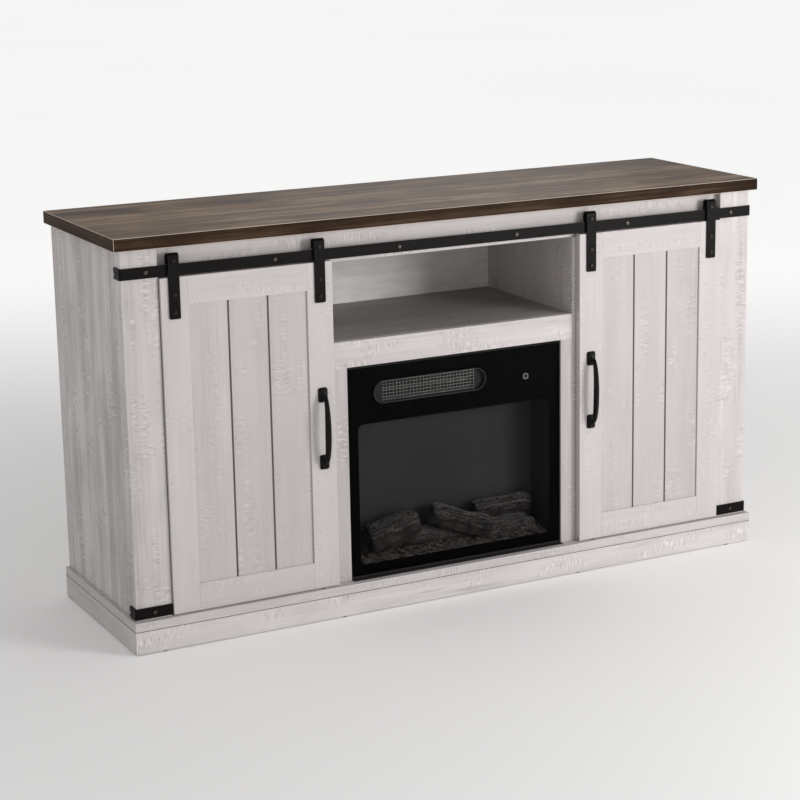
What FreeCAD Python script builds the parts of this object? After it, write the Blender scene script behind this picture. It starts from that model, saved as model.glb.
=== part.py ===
import FreeCAD, Part
import math
import os

from FreeCAD import Vector

# Electric fireplace built into a sliding-door media console.
# Millimetres, +Z up, the front faces -Y, +X to the right seen from the front.
# The origin is the bottom centre of the whole object's box, pulls included.

os.makedirs("parts", exist_ok=True)

# ---------------------------------------------------------------- driving sizes
# Overall
overall_height = 822.0
slab_width = 1473.0
slab_depth = 415.0
slab_thickness = 25.0

# A cut runs this far past what it cuts, and a point counts as being on a corner within the second.
past = 1.0
near = 0.1

# Carcass boards
board = 15.0
arris = 0.8
slab_overhang = 14.8
stile_setback = 12.3
stile_width = 74.0
apron_height = 66.0
post_depth = 37.0
post_gap = 1.5
back_panel_thickness = 5.0
back_panel_recess = 23.0
back_panel_seam = 0.5
cable_hole_radius = 25.0
cable_hole_inset = 75.0
cable_hole_drop = 150.0
side_shelf_height = 335.0
side_shelf_clearance = 1.0
side_shelf_front_gap = 14.0
pin_radius = 2.5
pin_reach = 9.0
pin_depth = 8.0
pin_inset = 40.0

# Base
base_overhang = 8.6
base_lead = 2.4
base_board_thickness = 18.0
skirt_height = 46.0
glide_height = 2.0
glide_radius = 6.0
glide_inset = 60.0

# Niche shelf and the frame round the fireplace insert
fascia_height = 54.0
strip_width = 28.9
insert_gap = 0.6
fascia_gap = 3.8

# Doors
door_thickness = 15.0
door_clearance = 2.7
door_side_gap = 1.8
door_floor_gap = 2.0
door_rail_gap = 2.8
door_reveal = 7.0
door_member = 55.0
plank_recess = 4.0
plank_thickness = 7.0
plank_count = 3
groove_width = 4.4
groove_depth = 2.6
guide_radius = 2.5
guide_height = 8.0
guide_clearance = 0.6
guide_foot_radius = 7.0
guide_foot_height = 1.4
guide_inset_share = 0.1

# Flat rail, its spacers and the corner straps
rail_drop = 34.4
rail_height = 22.0
rail_thickness = 3.5
rail_leg = 32.0
rail_bend = 4.0
side_screw_share = 0.72
spacer_radius = 8.0
spacer_pitch = 271.0
rail_end_inset = 48.9
corner_strap_gap = 3.0
screw_radius = 2.2
screw_head_radius = 4.2
screw_head_height = 1.5
screw_grip = 11.0
dome_share = 0.6

# Hangers and rollers
strap_width = 22.5
strap_thickness = 3.0
strap_drop = 80.5
strap_corner = 3.0
hoop_clearance = 0.4
hoop_sink = 0.6
bolt_radius = 2.5
bolt_head_radius = 4.6
bolt_head_height = 1.8
bolt_grip = 12.0
bolt_first = 12.5
bolt_pitch = 34.0
axle_radius = 3.0
axle_clearance = 0.05
roller_groove_radius = 6.0
roller_flange = 2.5
roller_front_flange = 1.8
roller_back_flange = 2.8
roller_side_gap = 0.3
roller_ride_gap = 0.2
hoop_tail = 6.8
nut_height = 3.0

# Pulls
pull_length = 168.0
pull_foot_width = 20.0
pull_foot_height = 30.0
pull_foot_thickness = 4.0
pull_foot_corner = 2.0
pull_reach = 30.0
pull_grip = 10.0
pull_centre_height = 335.0
pull_screw_radius = 2.0

# Fireplace insert: front
glass_width = 500.0
glass_height = 439.5
glass_thickness = 4.0
glass_setback = 4.0
trim_thickness = 1.2
trim_depth = 18.0
trim_foot = 4.0
hearth_reach = 14.0
slot_length = 260.0
slot_height = 46.6
slot_offset = -59.5
slot_drop = 56.8

# Fireplace insert: case and works
sheet = 1.0
casing_inset = 15.0
casing_depth = 150.0
casing_drop = 9.5
vent_rows = 6
vent_columns = 5
vent_length = 50.0
vent_height = 5.0
vent_pitch_x = 70.0
vent_pitch_z = 10.0
vent_drop = 28.0
gland_radius = 8.0
gland_bore = 3.6
gland_rise = 60.0
gland_inset = 45.0
gland_length_inside = 8.0
gland_flange_rim = 4.0
gland_flange_thickness = 3.0
gland_nose_length = 10.0
gland_nose_step = 1.0
gland_nose_taper = 2.0
bracket_sheet = 1.5
bracket_height = 40.0
bracket_rise = 20.0
bracket_web_length = 40.0
bracket_back_inset = 20.0
bracket_tab_length = 28.5

# Fireplace insert: firebox
liner_inset = 7.0
liner_back_gap = 1.0
heater_bay_floor = 24.7
screen_depth = 78.0
screen_thickness = 3.0
screen_gap = 0.5
ember_height = 26.0
ember_end_gap = 1.0
ember_front_gap = 2.0
ember_lip_drop = 8.0
ember_lip_depth = 30.0
ember_back_rise = 14.0
log_left_inset = 35.0
log_right_inset = 20.0
led_gap = 3.0
led_width = 12.0
led_thickness = 1.6
led_rise = 4.0
led_inset = 20.0
spindle_radius = 3.0
spindle_vane = 15.0
spindle_rise = 58.0
spindle_behind_screen = 30.0
spindle_tail = 0.6
vane_count = 14
vane_thickness = 0.8
vane_share = 0.55
vane_turn = 37.0
vane_end_gap = 20.0
spindle_motor_radius = 22.0
spindle_motor_length = 26.0
spindle_motor_end_gap = 30.0
spindle_boss_radius = 6.0
spindle_boss_length = 4.0
spindle_grip = 8.0

# Fireplace insert: heater
blower_radius = 24.0
blower_gap = 4.0
blower_depth = 92.0
blower_end_gap = 5.0
blade_count = 24
blade_width = 7.2
blade_thickness = 0.8
blade_inset = 0.8
blade_tilt = 35.0
wheel_disc = 2.0
intake_inset = 8.0
intake_front = 8.0
intake_back = 12.0
intake_reach = 4.0
motor_length = 36.0
motor_size = 46.0
motor_corner = 3.0
motor_gap = 4.0
shaft_radius = 3.0
shaft_tail = 3.0
shaft_grip = 12.0
bearing_clearance = 0.05
duct_inset = 17.3
duct_gap = 1.0
grille_recess = 10.0
grille_thickness = 0.8
grille_border = 4.0
grille_pitch = 6.0
grille_hole = 4.2
heater_gap = 8.0
heater_depth = 14.0
heater_margin = 2.0
heater_bar_height = 4.0
heater_fin_pitch = 6.0
heater_fin_thickness = 0.6
heater_fin_inset = 1.0
cutout_radius = 6.5
cutout_height = 6.0
cutout_inset = 18.0
control_board_width = 110.0
control_board_left_share = 0.6
control_board_height = 60.0
control_board_thickness = 1.6
control_board_gap = 4.0
key_from_side = 83.4
key_radius = 7.0
key_below_slot = 8.0

# ---------------------------------------------------------------- derived places
door_setback = (stile_setback - rail_thickness - roller_side_gap - roller_front_flange
                - hoop_clearance)
pull_overhang = pull_reach - door_setback
slab_front = -(slab_depth + pull_overhang) / 2.0 + pull_overhang
slab_back = slab_front + slab_depth
slab_bottom = overall_height - slab_thickness

body_half = slab_width / 2.0 - slab_overhang
body_inner = body_half - board
stile_front = slab_front + stile_setback
stile_inner = body_half - stile_width
apron_bottom = slab_bottom - apron_height
post_front = slab_back - post_depth
side_back = post_front - post_gap

base_bottom = glide_height
base_board_bottom = base_bottom + skirt_height
base_top = base_board_bottom + base_board_thickness
base_half = body_half + base_overhang
base_front = slab_front - base_lead

door_front = slab_front + door_setback
door_back = door_front + door_thickness
fascia_front = door_back + door_clearance
fascia_back = fascia_front + board
insert_half = glass_width / 2.0
insert_top = base_top + trim_foot + glass_height
strip_inner = insert_half + insert_gap
niche_half = strip_inner + strip_width
fascia_bottom = insert_top + fascia_gap
shelf_top = fascia_bottom + fascia_height
partition_outer = niche_half + board
panel_front = slab_back - back_panel_recess - back_panel_thickness

rail_top = slab_bottom - rail_drop
rail_bottom = rail_top - rail_height
rail_middle = (rail_top + rail_bottom) / 2.0
rail_back = stile_front
rail_front = rail_back - rail_thickness
rail_end = body_half + rail_thickness

door_inner = niche_half + door_reveal
door_outer = stile_inner - door_side_gap
door_bottom = base_top + door_floor_gap
door_top = rail_bottom - door_rail_gap

glass_front = fascia_front + glass_setback
glass_back = glass_front + glass_thickness
glass_bottom = base_top + trim_foot
casing_back = glass_front + casing_depth
casing_bottom = glass_bottom
casing_top = insert_top - casing_drop
casing_half = insert_half - casing_inset
liner_half = casing_half - liner_inset
slot_z = insert_top - slot_drop
scroll_inner = blower_radius + blower_gap
scroll_outer = scroll_inner + sheet
liner_top = slot_z - scroll_outer - heater_bay_floor


# ---------------------------------------------------------------- shape helpers
def save(node, *solids):
    """Write one piece, or a group of like pieces, as parts/NODE.step."""
    shape = solids[0] if len(solids) == 1 else Part.makeCompound(list(solids))
    if not shape.isValid() or min(s.Volume for s in shape.Solids) <= 0:
        raise ValueError("bad shape in " + node)
    shape.exportStep("parts/" + node + ".step")


def block(x0, x1, y0, y1, z0, z1):
    """A sharp-edged box between two corners."""
    return Part.makeBox(x1 - x0, y1 - y0, z1 - z0, Vector(x0, y0, z0))


def plank(x0, x1, y0, y1, z0, z1):
    """A board: a box with a small flat on each of its edges."""
    solid = block(x0, x1, y0, y1, z0, z1)
    return solid.makeChamfer(arris, solid.Edges)


def rod(radius, start, end):
    """A round bar from one point to another."""
    along = end.sub(start)
    return Part.makeCylinder(radius, along.Length, start, along)


def rod_y(radius, x, z, y0, y1):
    """A round bar along Y."""
    return rod(radius, Vector(x, y0, z), Vector(x, y1, z))


def rod_x(radius, y, z, x0, x1):
    """A round bar along X."""
    return rod(radius, Vector(x0, y, z), Vector(x1, y, z))


def outline(points):
    """A closed wire through a list of points."""
    return Part.makePolygon(points + [points[0]])


def extrude_up(points, z0, z1):
    """A plan shape, given as (x, y) points, extruded from z0 to z1."""
    wire = outline([Vector(x, y, z0) for x, y in points])
    return Part.Face(wire).extrude(Vector(0, 0, z1 - z0))


def extrude_x(points, x0, x1):
    """A side shape, given as (y, z) points, extruded from x0 to x1."""
    wire = outline([Vector(x0, y, z) for y, z in points])
    return Part.Face(wire).extrude(Vector(x1 - x0, 0, 0))


def rectangle_xz(x0, x1, z0, z1, y):
    """A rectangular wire facing the front."""
    corners = [(x0, z0), (x1, z0), (x1, z1), (x0, z1)]
    return outline([Vector(cx, y, cz) for cx, cz in corners])


def stadium_xz(centre_x, centre_z, length, height, y):
    """A slot-shaped wire facing the front, with half-round ends."""
    r = height / 2.0
    left = centre_x - length / 2.0 + r
    right = centre_x + length / 2.0 - r
    top = centre_z + r
    low = centre_z - r
    edges = [
        Part.LineSegment(Vector(left, y, low), Vector(right, y, low)).toShape(),
        Part.Arc(Vector(right, y, low), Vector(right + r, y, centre_z), Vector(right, y, top)).toShape(),
        Part.LineSegment(Vector(right, y, top), Vector(left, y, top)).toShape(),
        Part.Arc(Vector(left, y, top), Vector(left - r, y, centre_z), Vector(left, y, low)).toShape(),
    ]
    return Part.Wire(edges)


def plate_xz(outer, holes, thickness):
    """A flat plate facing the front, extruded backwards, with its holes."""
    face = Part.makeFace([outer] + holes, "Part::FaceMakerBullseye")
    return face.extrude(Vector(0, thickness, 0))


def mirrored(shape):
    """The left-hand copy of a right-hand shape."""
    return shape.mirror(Vector(0, 0, 0), Vector(1, 0, 0))


def both_sides(shape):
    """A right-hand shape and its left-hand copy."""
    return [mirrored(shape), shape]


def round_corners(solid, radius, direction, chosen):
    """Round the edges that run along a direction and whose middle passes a test."""
    edges = []
    for edge in solid.Edges:
        ends = [v.Point for v in edge.Vertexes]
        if len(ends) != 2:
            continue
        run = ends[1].sub(ends[0])
        if run.Length > 0 and abs(abs(run.normalize().dot(direction)) - 1) < 1e-6:
            if chosen(edge.CenterOfMass):
                edges.append(edge)
    return solid.makeFillet(radius, edges)


along_x = Vector(1, 0, 0)
along_y = Vector(0, 1, 0)
along_z = Vector(0, 0, 1)

# ---------------------------------------------------------------- fastener places
spacer_places = [n * spacer_pitch for n in (-1.5, -0.5, 0.5, 1.5)]
rail_end_place = body_half - rail_end_inset
side_screw_y = rail_front + rail_leg * side_screw_share
corner_strap_bottom = base_top + corner_strap_gap
corner_strap_top = corner_strap_bottom + rail_height
corner_screw_z = (corner_strap_bottom + corner_strap_top) / 2.0
corner_screw_x = (stile_inner + body_half) / 2.0


def face_screw(x, z, grip):
    """A round-headed screw driven backwards through the rail or a corner strap."""
    head = rod_y(screw_head_radius, x, z, rail_front - screw_head_height, rail_front)
    rim = [e for e in head.Edges if abs(e.CenterOfMass.y - (rail_front - screw_head_height)) < 1e-6]
    head = head.makeFillet(screw_head_height * dome_share, rim)
    shank = rod_y(screw_radius, x, z, rail_front, rail_front + grip)
    return head.fuse(shank).removeSplitter()


def side_screw(z):
    """The same screw driven sideways into the right-hand side panel."""
    head = rod_x(screw_head_radius, side_screw_y, z, rail_end, rail_end + screw_head_height)
    rim = [e for e in head.Edges if abs(e.CenterOfMass.x - (rail_end + screw_head_height)) < 1e-6]
    head = head.makeFillet(screw_head_height * dome_share, rim)
    shank = rod_x(screw_radius, side_screw_y, z, rail_end - screw_grip - rail_thickness, rail_end)
    return head.fuse(shank).removeSplitter()


spacer_grip = rail_thickness + board + screw_grip
stile_grip = rail_thickness + screw_grip
rail_screws = [face_screw(x, rail_middle, spacer_grip) for x in spacer_places]
rail_screws += both_sides(face_screw(rail_end_place, rail_middle, stile_grip))
rail_screws += both_sides(side_screw(rail_middle))
strap_screws = both_sides(face_screw(corner_screw_x, corner_screw_z, stile_grip))
strap_screws += both_sides(side_screw(corner_screw_z))
all_screws = Part.makeCompound(rail_screws + strap_screws)
save("rail_screws", *(rail_screws + strap_screws))

# ---------------------------------------------------------------- slab and carcass
slab_half = slab_width / 2.0
save("top_slab", plank(-slab_half, slab_half, slab_front, slab_back, slab_bottom, overall_height))

# The stile and the side panel meet in a mitre at the front corner.
mitre = (body_inner, stile_front + board)
nose = (body_half - arris / 2.0, stile_front + arris / 2.0)
stile_plan = [(stile_inner, stile_front), (body_half - arris, stile_front), nose, mitre,
              (stile_inner, stile_front + board)]
side_plan = [nose, (body_half, stile_front + arris), (body_half, side_back - arris),
             (body_half - arris, side_back), (body_inner, side_back), mitre]
stile = extrude_up(stile_plan, base_top, slab_bottom).cut(all_screws)
side = extrude_up(side_plan, base_top, slab_bottom).cut(all_screws)

# Shelf pins sit in the side panels and the partitions.
shelf_front = fascia_back + side_shelf_front_gap
shelf_back = panel_front - side_shelf_clearance
shelf_z = base_top + side_shelf_height
pin_z = shelf_z - pin_radius
pin_ends = ((body_inner - pin_reach, body_inner + pin_depth),
            (partition_outer - pin_depth, partition_outer + pin_reach))
pins = []
for pin_y in (shelf_front + pin_inset, shelf_back - pin_inset):
    for pin_left, pin_right in pin_ends:
        pins += both_sides(rod_x(pin_radius, pin_y, pin_z, pin_left, pin_right))
pin_tools = Part.makeCompound(pins)
save("shelf_pins", *pins)

side = side.cut(pin_tools)
for name, shape in zip(("left", "right"), both_sides(side)):
    save("side_panel_" + name, shape)
for name, shape in zip(("left", "right"), both_sides(stile)):
    save("front_stile_" + name, shape)

post = plank(body_inner, body_half, post_front, slab_back, base_top, slab_bottom)
save("rear_posts", *both_sides(post))

apron_front = stile_front + board
apron_back = apron_front + board
apron = plank(-body_inner, body_inner, apron_front, apron_back, apron_bottom, slab_bottom)
save("front_apron", apron.cut(all_screws))

# The partitions carry the slab and are notched at the top for the apron.
notch = block(niche_half - board, partition_outer + board, fascia_front - board, apron_back,
              apron_bottom, slab_bottom + board)
partition = plank(niche_half, partition_outer, fascia_front, panel_front, base_top, slab_bottom)
partition = partition.cut(notch).cut(pin_tools)
for name, shape in zip(("left", "right"), both_sides(partition)):
    save("partition_" + name, shape)

shelf_board_bottom = shelf_top - board
save("niche_shelf", plank(-niche_half, niche_half, fascia_back, panel_front, shelf_board_bottom, shelf_top))
save("shelf_fascia", plank(-niche_half, niche_half, fascia_front, fascia_back, fascia_bottom, shelf_top))
strip = plank(strip_inner, niche_half, fascia_front, fascia_back, base_top, fascia_bottom)
save("surround_strips", *both_sides(strip))

side_shelf = plank(partition_outer + side_shelf_clearance, body_inner - side_shelf_clearance,
                   shelf_front, shelf_back, shelf_z, shelf_z + board)
save("side_shelves", *both_sides(side_shelf))


# ---------------------------------------------------------------- back panels
def back_panel(x0, x1, z0, z1, hole_x, hole_z):
    """A thin panel with one round cable outlet."""
    ring = Part.Wire(Part.makeCircle(cable_hole_radius, Vector(hole_x, panel_front, hole_z), along_y))
    return plate_xz(rectangle_xz(x0, x1, z0, z1, panel_front), [ring], back_panel_thickness)


seam = (niche_half + partition_outer) / 2.0
side_panel_start = seam + back_panel_seam
side_hole_x = (seam + body_inner) / 2.0
side_hole_z = shelf_z - cable_hole_drop
side_back_panel = back_panel(side_panel_start, body_inner, base_top, slab_bottom, side_hole_x, side_hole_z)
save("back_panels_side", *both_sides(side_back_panel))
niche_hole_x = cable_hole_inset - niche_half
niche_hole_z = (shelf_top + slab_bottom) / 2.0
niche_back_panel = back_panel(-seam, seam, shelf_board_bottom, slab_bottom, niche_hole_x, niche_hole_z)
save("back_panel_niche", niche_back_panel)

# ---------------------------------------------------------------- base
guide_place = door_inner + (door_outer - door_inner) * guide_inset_share
door_middle_y = (door_front + door_back) / 2.0
guide = rod(guide_foot_radius, Vector(guide_place, door_middle_y, base_top),
            Vector(guide_place, door_middle_y, base_top + guide_foot_height))
guide_pin = rod(guide_radius, Vector(guide_place, door_middle_y, base_top),
                Vector(guide_place, door_middle_y, base_top + guide_height))
guide = guide.fuse(guide_pin).removeSplitter()
save("door_guides", *both_sides(guide))

bottom_board = plank(-base_half, base_half, base_front, slab_back, base_board_bottom, base_top)
save("bottom_board", bottom_board)
skirt_inner = base_half - board
end_skirt = plank(skirt_inner, base_half, base_front, slab_back, base_bottom, base_board_bottom)
front_skirt = plank(-skirt_inner, skirt_inner, base_front, base_front + board, base_bottom, base_board_bottom)
rear_skirt = plank(-skirt_inner, skirt_inner, slab_back - board, slab_back, base_bottom, base_board_bottom)
brace_front = base_front + board
brace_back = slab_back - board
brace = plank(niche_half, partition_outer, brace_front, brace_back, base_bottom, base_board_bottom)
save("base_skirts", front_skirt, rear_skirt, *(both_sides(end_skirt) + both_sides(brace)))
glides = []
for glide_y in (base_front + board / 2.0, slab_back - board / 2.0):
    for glide_x in (base_half - glide_inset, niche_half):
        top = Vector(glide_x, glide_y, base_bottom)
        glides += both_sides(rod(glide_radius, Vector(glide_x, glide_y, 0), top))
save("floor_glides", *glides)


# ---------------------------------------------------------------- rail and straps
def bent_strap(inner_x, z0, z1):
    """Right-hand flat bar that runs along the front and turns back along the side."""
    plan = [(inner_x, rail_front), (rail_end, rail_front), (rail_end, rail_front + rail_leg),
            (body_half, rail_front + rail_leg), (body_half, rail_back), (inner_x, rail_back)]
    bar = extrude_up(plan, z0, z1)
    bar = round_corners(bar, rail_bend, along_z,
                        lambda p: abs(p.x - rail_end) < near and abs(p.y - rail_front) < near)
    return bar.cut(all_screws)


half_rail = bent_strap(0.0, rail_bottom, rail_top)
door_rail = half_rail.fuse(mirrored(half_rail)).removeSplitter()
save("door_rail", door_rail)
corner_strap = bent_strap(stile_inner, corner_strap_bottom, corner_strap_top)
save("corner_straps", *both_sides(corner_strap))

spacers = []
for x in spacer_places:
    tube = rod_y(spacer_radius, x, rail_middle, rail_back, apron_front)
    spacers.append(tube.cut(all_screws))
save("rail_spacers", *spacers)

# ---------------------------------------------------------------- hangers
axle_z = rail_top + roller_groove_radius + roller_ride_gap
roller_front = rail_front - roller_side_gap - roller_front_flange
roller_back = rail_back + roller_side_gap + roller_back_flange
strap_back = door_front
strap_front = strap_back - strap_thickness
hoop_leg_front = roller_back + hoop_clearance
hoop_leg_back = hoop_leg_front + strap_thickness
hoop_inner = (hoop_leg_front - strap_back) / 2.0
hoop_outer = hoop_inner + strap_thickness
hoop_y = (hoop_leg_front + strap_back) / 2.0
roller_flange_radius = roller_groove_radius + roller_flange
hoop_z = axle_z + roller_flange_radius - hoop_sink
strap_bottom = door_top - strap_drop
hanger_places = (door_outer - door_member / 2.0, door_inner + door_member / 2.0)


def hanger_bolts(x):
    """The two bolts that hold a strap to the door, and the roller's axle bolt with its nut."""
    bolts = []
    for z in (strap_bottom + bolt_first, strap_bottom + bolt_first + bolt_pitch):
        head = rod_y(bolt_head_radius, x, z, strap_front - bolt_head_height, strap_front)
        rim = [e for e in head.Edges if e.CenterOfMass.y < strap_front - bolt_head_height + near]
        head = head.makeFillet(bolt_head_height * dome_share, rim)
        bolts.append(head.fuse(rod_y(bolt_radius, x, z, strap_front, strap_back + bolt_grip)))
    head = rod_y(bolt_head_radius, x, axle_z, strap_front - bolt_head_height, strap_front)
    rim = [e for e in head.Edges if e.CenterOfMass.y < strap_front - bolt_head_height + near]
    head = head.makeFillet(bolt_head_height * dome_share, rim)
    axle = head.fuse(rod_y(axle_radius, x, axle_z, strap_front, hoop_leg_back))
    nut = rod_y(bolt_head_radius, x, axle_z, hoop_leg_back, hoop_leg_back + nut_height)
    bolts.append(axle.fuse(nut))
    return [b.removeSplitter() for b in bolts]


def hanger(x):
    """A strap bolted to the door's face, folded over the rail as a hoop."""
    x0 = x - strap_width / 2.0
    tail = axle_z - hoop_tail
    outer_low = Vector(x0, strap_front, strap_bottom)
    outer_up = Vector(x0, strap_front, hoop_z)
    outer_crown = Vector(x0, hoop_y, hoop_z + hoop_outer)
    outer_down = Vector(x0, hoop_leg_back, hoop_z)
    inner_down = Vector(x0, hoop_leg_front, hoop_z)
    inner_crown = Vector(x0, hoop_y, hoop_z + hoop_inner)
    inner_up = Vector(x0, strap_back, hoop_z)
    edges = [
        Part.LineSegment(outer_low, outer_up).toShape(),
        Part.Arc(outer_up, outer_crown, outer_down).toShape(),
        Part.LineSegment(outer_down, Vector(x0, hoop_leg_back, tail)).toShape(),
        Part.LineSegment(Vector(x0, hoop_leg_back, tail), Vector(x0, hoop_leg_front, tail)).toShape(),
        Part.LineSegment(Vector(x0, hoop_leg_front, tail), inner_down).toShape(),
        Part.Arc(inner_down, inner_crown, inner_up).toShape(),
        Part.LineSegment(inner_up, Vector(x0, strap_back, strap_bottom)).toShape(),
        Part.LineSegment(Vector(x0, strap_back, strap_bottom), outer_low).toShape(),
    ]
    strap = Part.Face(Part.Wire(edges)).extrude(Vector(strap_width, 0, 0))
    strap = round_corners(strap, strap_corner, along_y,
                          lambda p: p.z < strap_bottom + near or abs(p.z - tail) < near)
    return strap.cut(Part.makeCompound(hanger_bolts(x)))


def roller(x):
    """A grooved wheel that rides on the rail's top edge."""
    middle = rod_y(roller_groove_radius, x, axle_z, roller_front, roller_back)
    front = rod_y(roller_flange_radius, x, axle_z, roller_front, roller_front + roller_front_flange)
    back = rod_y(roller_flange_radius, x, axle_z, roller_back - roller_back_flange, roller_back)
    bore = rod_y(axle_radius + axle_clearance, x, axle_z, roller_front - past, roller_back + past)
    return middle.fuse([front, back]).cut(bore).removeSplitter()


# ---------------------------------------------------------------- pull
pull_x = door_inner + door_member / 2.0
pull_z = base_top + pull_centre_height
pull_top = pull_z + pull_length / 2.0
pull_low = pull_z - pull_length / 2.0
pull_front = door_front - pull_reach
foot_top = pull_top - pull_foot_height / 2.0
foot_low = pull_low + pull_foot_height / 2.0


def pull():
    """A bow pull: two square feet joined by a bowed bar."""
    feet = []
    for z in (foot_top, foot_low):
        foot = block(pull_x - pull_foot_width / 2.0, pull_x + pull_foot_width / 2.0,
                     door_front - pull_foot_thickness, door_front,
                     z - pull_foot_height / 2.0, z + pull_foot_height / 2.0)
        feet.append(round_corners(foot, pull_foot_corner, along_y, lambda p: True))
    x0 = pull_x - pull_grip / 2.0
    root = door_front - pull_foot_thickness / 2.0
    tip = pull_front + pull_grip
    outer = Part.Arc(Vector(x0, root, foot_top + pull_grip / 2.0), Vector(x0, pull_front, pull_z),
                     Vector(x0, root, foot_low - pull_grip / 2.0)).toShape()
    inner = Part.Arc(Vector(x0, root, foot_low + pull_grip / 2.0), Vector(x0, tip, pull_z),
                     Vector(x0, root, foot_top - pull_grip / 2.0)).toShape()
    low = Part.LineSegment(outer.Vertexes[-1].Point, inner.Vertexes[0].Point).toShape()
    high = Part.LineSegment(inner.Vertexes[-1].Point, outer.Vertexes[0].Point).toShape()
    bow = Part.Face(Part.Wire([outer, low, inner, high])).extrude(Vector(pull_grip, 0, 0))
    return bow.fuse(feet).removeSplitter()


def pull_screws():
    """The two screws that hold the pull from behind the door."""
    screws = []
    for z in (foot_top, foot_low):
        shank = rod_y(pull_screw_radius, pull_x, z, door_front, door_back)
        head = rod_y(screw_head_radius, pull_x, z, door_back - screw_head_height, door_back)
        screws.append(shank.fuse(head).removeSplitter())
    return screws


# ---------------------------------------------------------------- doors
door_fasteners = []
for x in hanger_places:
    door_fasteners += hanger_bolts(x)
door_fasteners += pull_screws()
door_tools = Part.makeCompound(door_fasteners)
panel_low = door_bottom + door_member
panel_high = door_top - door_member
panel_left = door_inner + door_member
panel_right = door_outer - door_member
guide_slot = block(door_inner - past, door_outer + past, door_middle_y - guide_radius - guide_clearance,
                   door_middle_y + guide_radius + guide_clearance, door_bottom - past,
                   base_top + guide_height + guide_clearance)

outer_stile = plank(panel_right, door_outer, door_front, door_back, door_bottom, door_top)
inner_stile = plank(door_inner, panel_left, door_front, door_back, door_bottom, door_top)
stiles = [s.cut(door_tools).cut(guide_slot) for s in (outer_stile, inner_stile)]
top_rail = plank(panel_left, panel_right, door_front, door_back, panel_high, door_top)
bottom_rail = plank(panel_left, panel_right, door_front, door_back, door_bottom, panel_low)
bottom_rail = bottom_rail.cut(guide_slot)

# One panel, cut with V grooves so that it reads as planks.
panel_y = door_front + plank_recess
plank_width = (panel_right - panel_left) / plank_count
panel_plan = [(panel_left, panel_y + plank_thickness), (panel_left, panel_y)]
for n in range(1, plank_count):
    groove_x = panel_left + n * plank_width
    panel_plan += [(groove_x - groove_width / 2.0, panel_y), (groove_x, panel_y + groove_depth),
                   (groove_x + groove_width / 2.0, panel_y)]
panel_plan += [(panel_right, panel_y), (panel_right, panel_y + plank_thickness)]
planks = extrude_up(panel_plan, panel_low, panel_high)

hangers = [hanger(x) for x in hanger_places]
door_pieces = {
    "stiles": stiles,
    "rails": [top_rail, bottom_rail],
    "planks": [planks],
    "pull": [pull()],
    "hangers": hangers,
    "fasteners": door_fasteners,
    "roller_outer": [roller(hanger_places[0])],
    "roller_inner": [roller(hanger_places[1])],
}
for piece, solids in door_pieces.items():
    save("door_right_" + piece, *solids)
    save("door_left_" + piece, *[mirrored(s) for s in solids])

# ---------------------------------------------------------------- insert front
glass_half = insert_half - trim_thickness
glass_low = glass_bottom + trim_thickness
glass_high = insert_top - trim_thickness
glass_outline = rectangle_xz(-glass_half, glass_half, glass_low, glass_high, glass_front)
slot_hole = stadium_xz(slot_offset, slot_z, slot_length, slot_height, glass_front)
save("insert_glass", plate_xz(glass_outline, [slot_hole], glass_thickness))

# A folded steel frame holds the glass and lies forward on the base as a thin hearth plate.
frame_outline = rectangle_xz(-insert_half, insert_half, glass_bottom, insert_top, glass_front)
frame_ring = plate_xz(frame_outline, [glass_outline], trim_depth)
foot_web = block(-insert_half, insert_half, glass_front, glass_front + trim_thickness, base_top, glass_bottom)
hearth = block(-insert_half, insert_half, glass_front - hearth_reach, glass_front, base_top,
               base_top + trim_thickness)
save("insert_trim", frame_ring.fuse([foot_web, hearth]).removeSplitter())

# ---------------------------------------------------------------- insert case
casing_front = glass_back + sheet
casing_low = casing_bottom + trim_thickness
outer_box = block(-casing_half, casing_half, casing_front, casing_back, casing_low, casing_top)
inner_box = block(-casing_half + sheet, casing_half - sheet, casing_front - past, casing_back + past,
                  casing_low + sheet, casing_top - sheet)
save("insert_casing", outer_box.cut(inner_box))

vents = []
for row in range(vent_rows):
    for column in range(vent_columns):
        vent_x = (column - (vent_columns - 1) / 2.0) * vent_pitch_x
        vent_z = casing_top - vent_drop - row * vent_pitch_z
        vents.append(stadium_xz(vent_x, vent_z, vent_length, vent_height, casing_back))
gland_z = casing_bottom + gland_rise
gland_x = casing_half - gland_inset
vents.append(Part.Wire(Part.makeCircle(gland_radius, Vector(gland_x, casing_back, gland_z), along_y)))
cover_outline = rectangle_xz(-casing_half, casing_half, casing_low, casing_top, casing_back)
save("insert_rear_cover", plate_xz(cover_outline, vents, sheet))

flange_front = casing_back + sheet
flange_back = flange_front + gland_flange_thickness
gland_back = flange_back + gland_nose_length
gland_front = casing_back - gland_length_inside
gland_body = rod_y(gland_radius, gland_x, gland_z, gland_front, flange_front)
gland_flange = rod_y(gland_radius + gland_flange_rim, gland_x, gland_z, flange_front, flange_back)
gland_nose = Part.makeCone(gland_radius + gland_nose_step, gland_radius - gland_nose_taper, gland_nose_length,
                           Vector(gland_x, flange_back, gland_z), along_y)
gland_hole = rod_y(gland_bore, gland_x, gland_z, gland_front - past, gland_back + past)
save("cord_gland", gland_body.fuse([gland_flange, gland_nose]).cut(gland_hole).removeSplitter())

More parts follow.
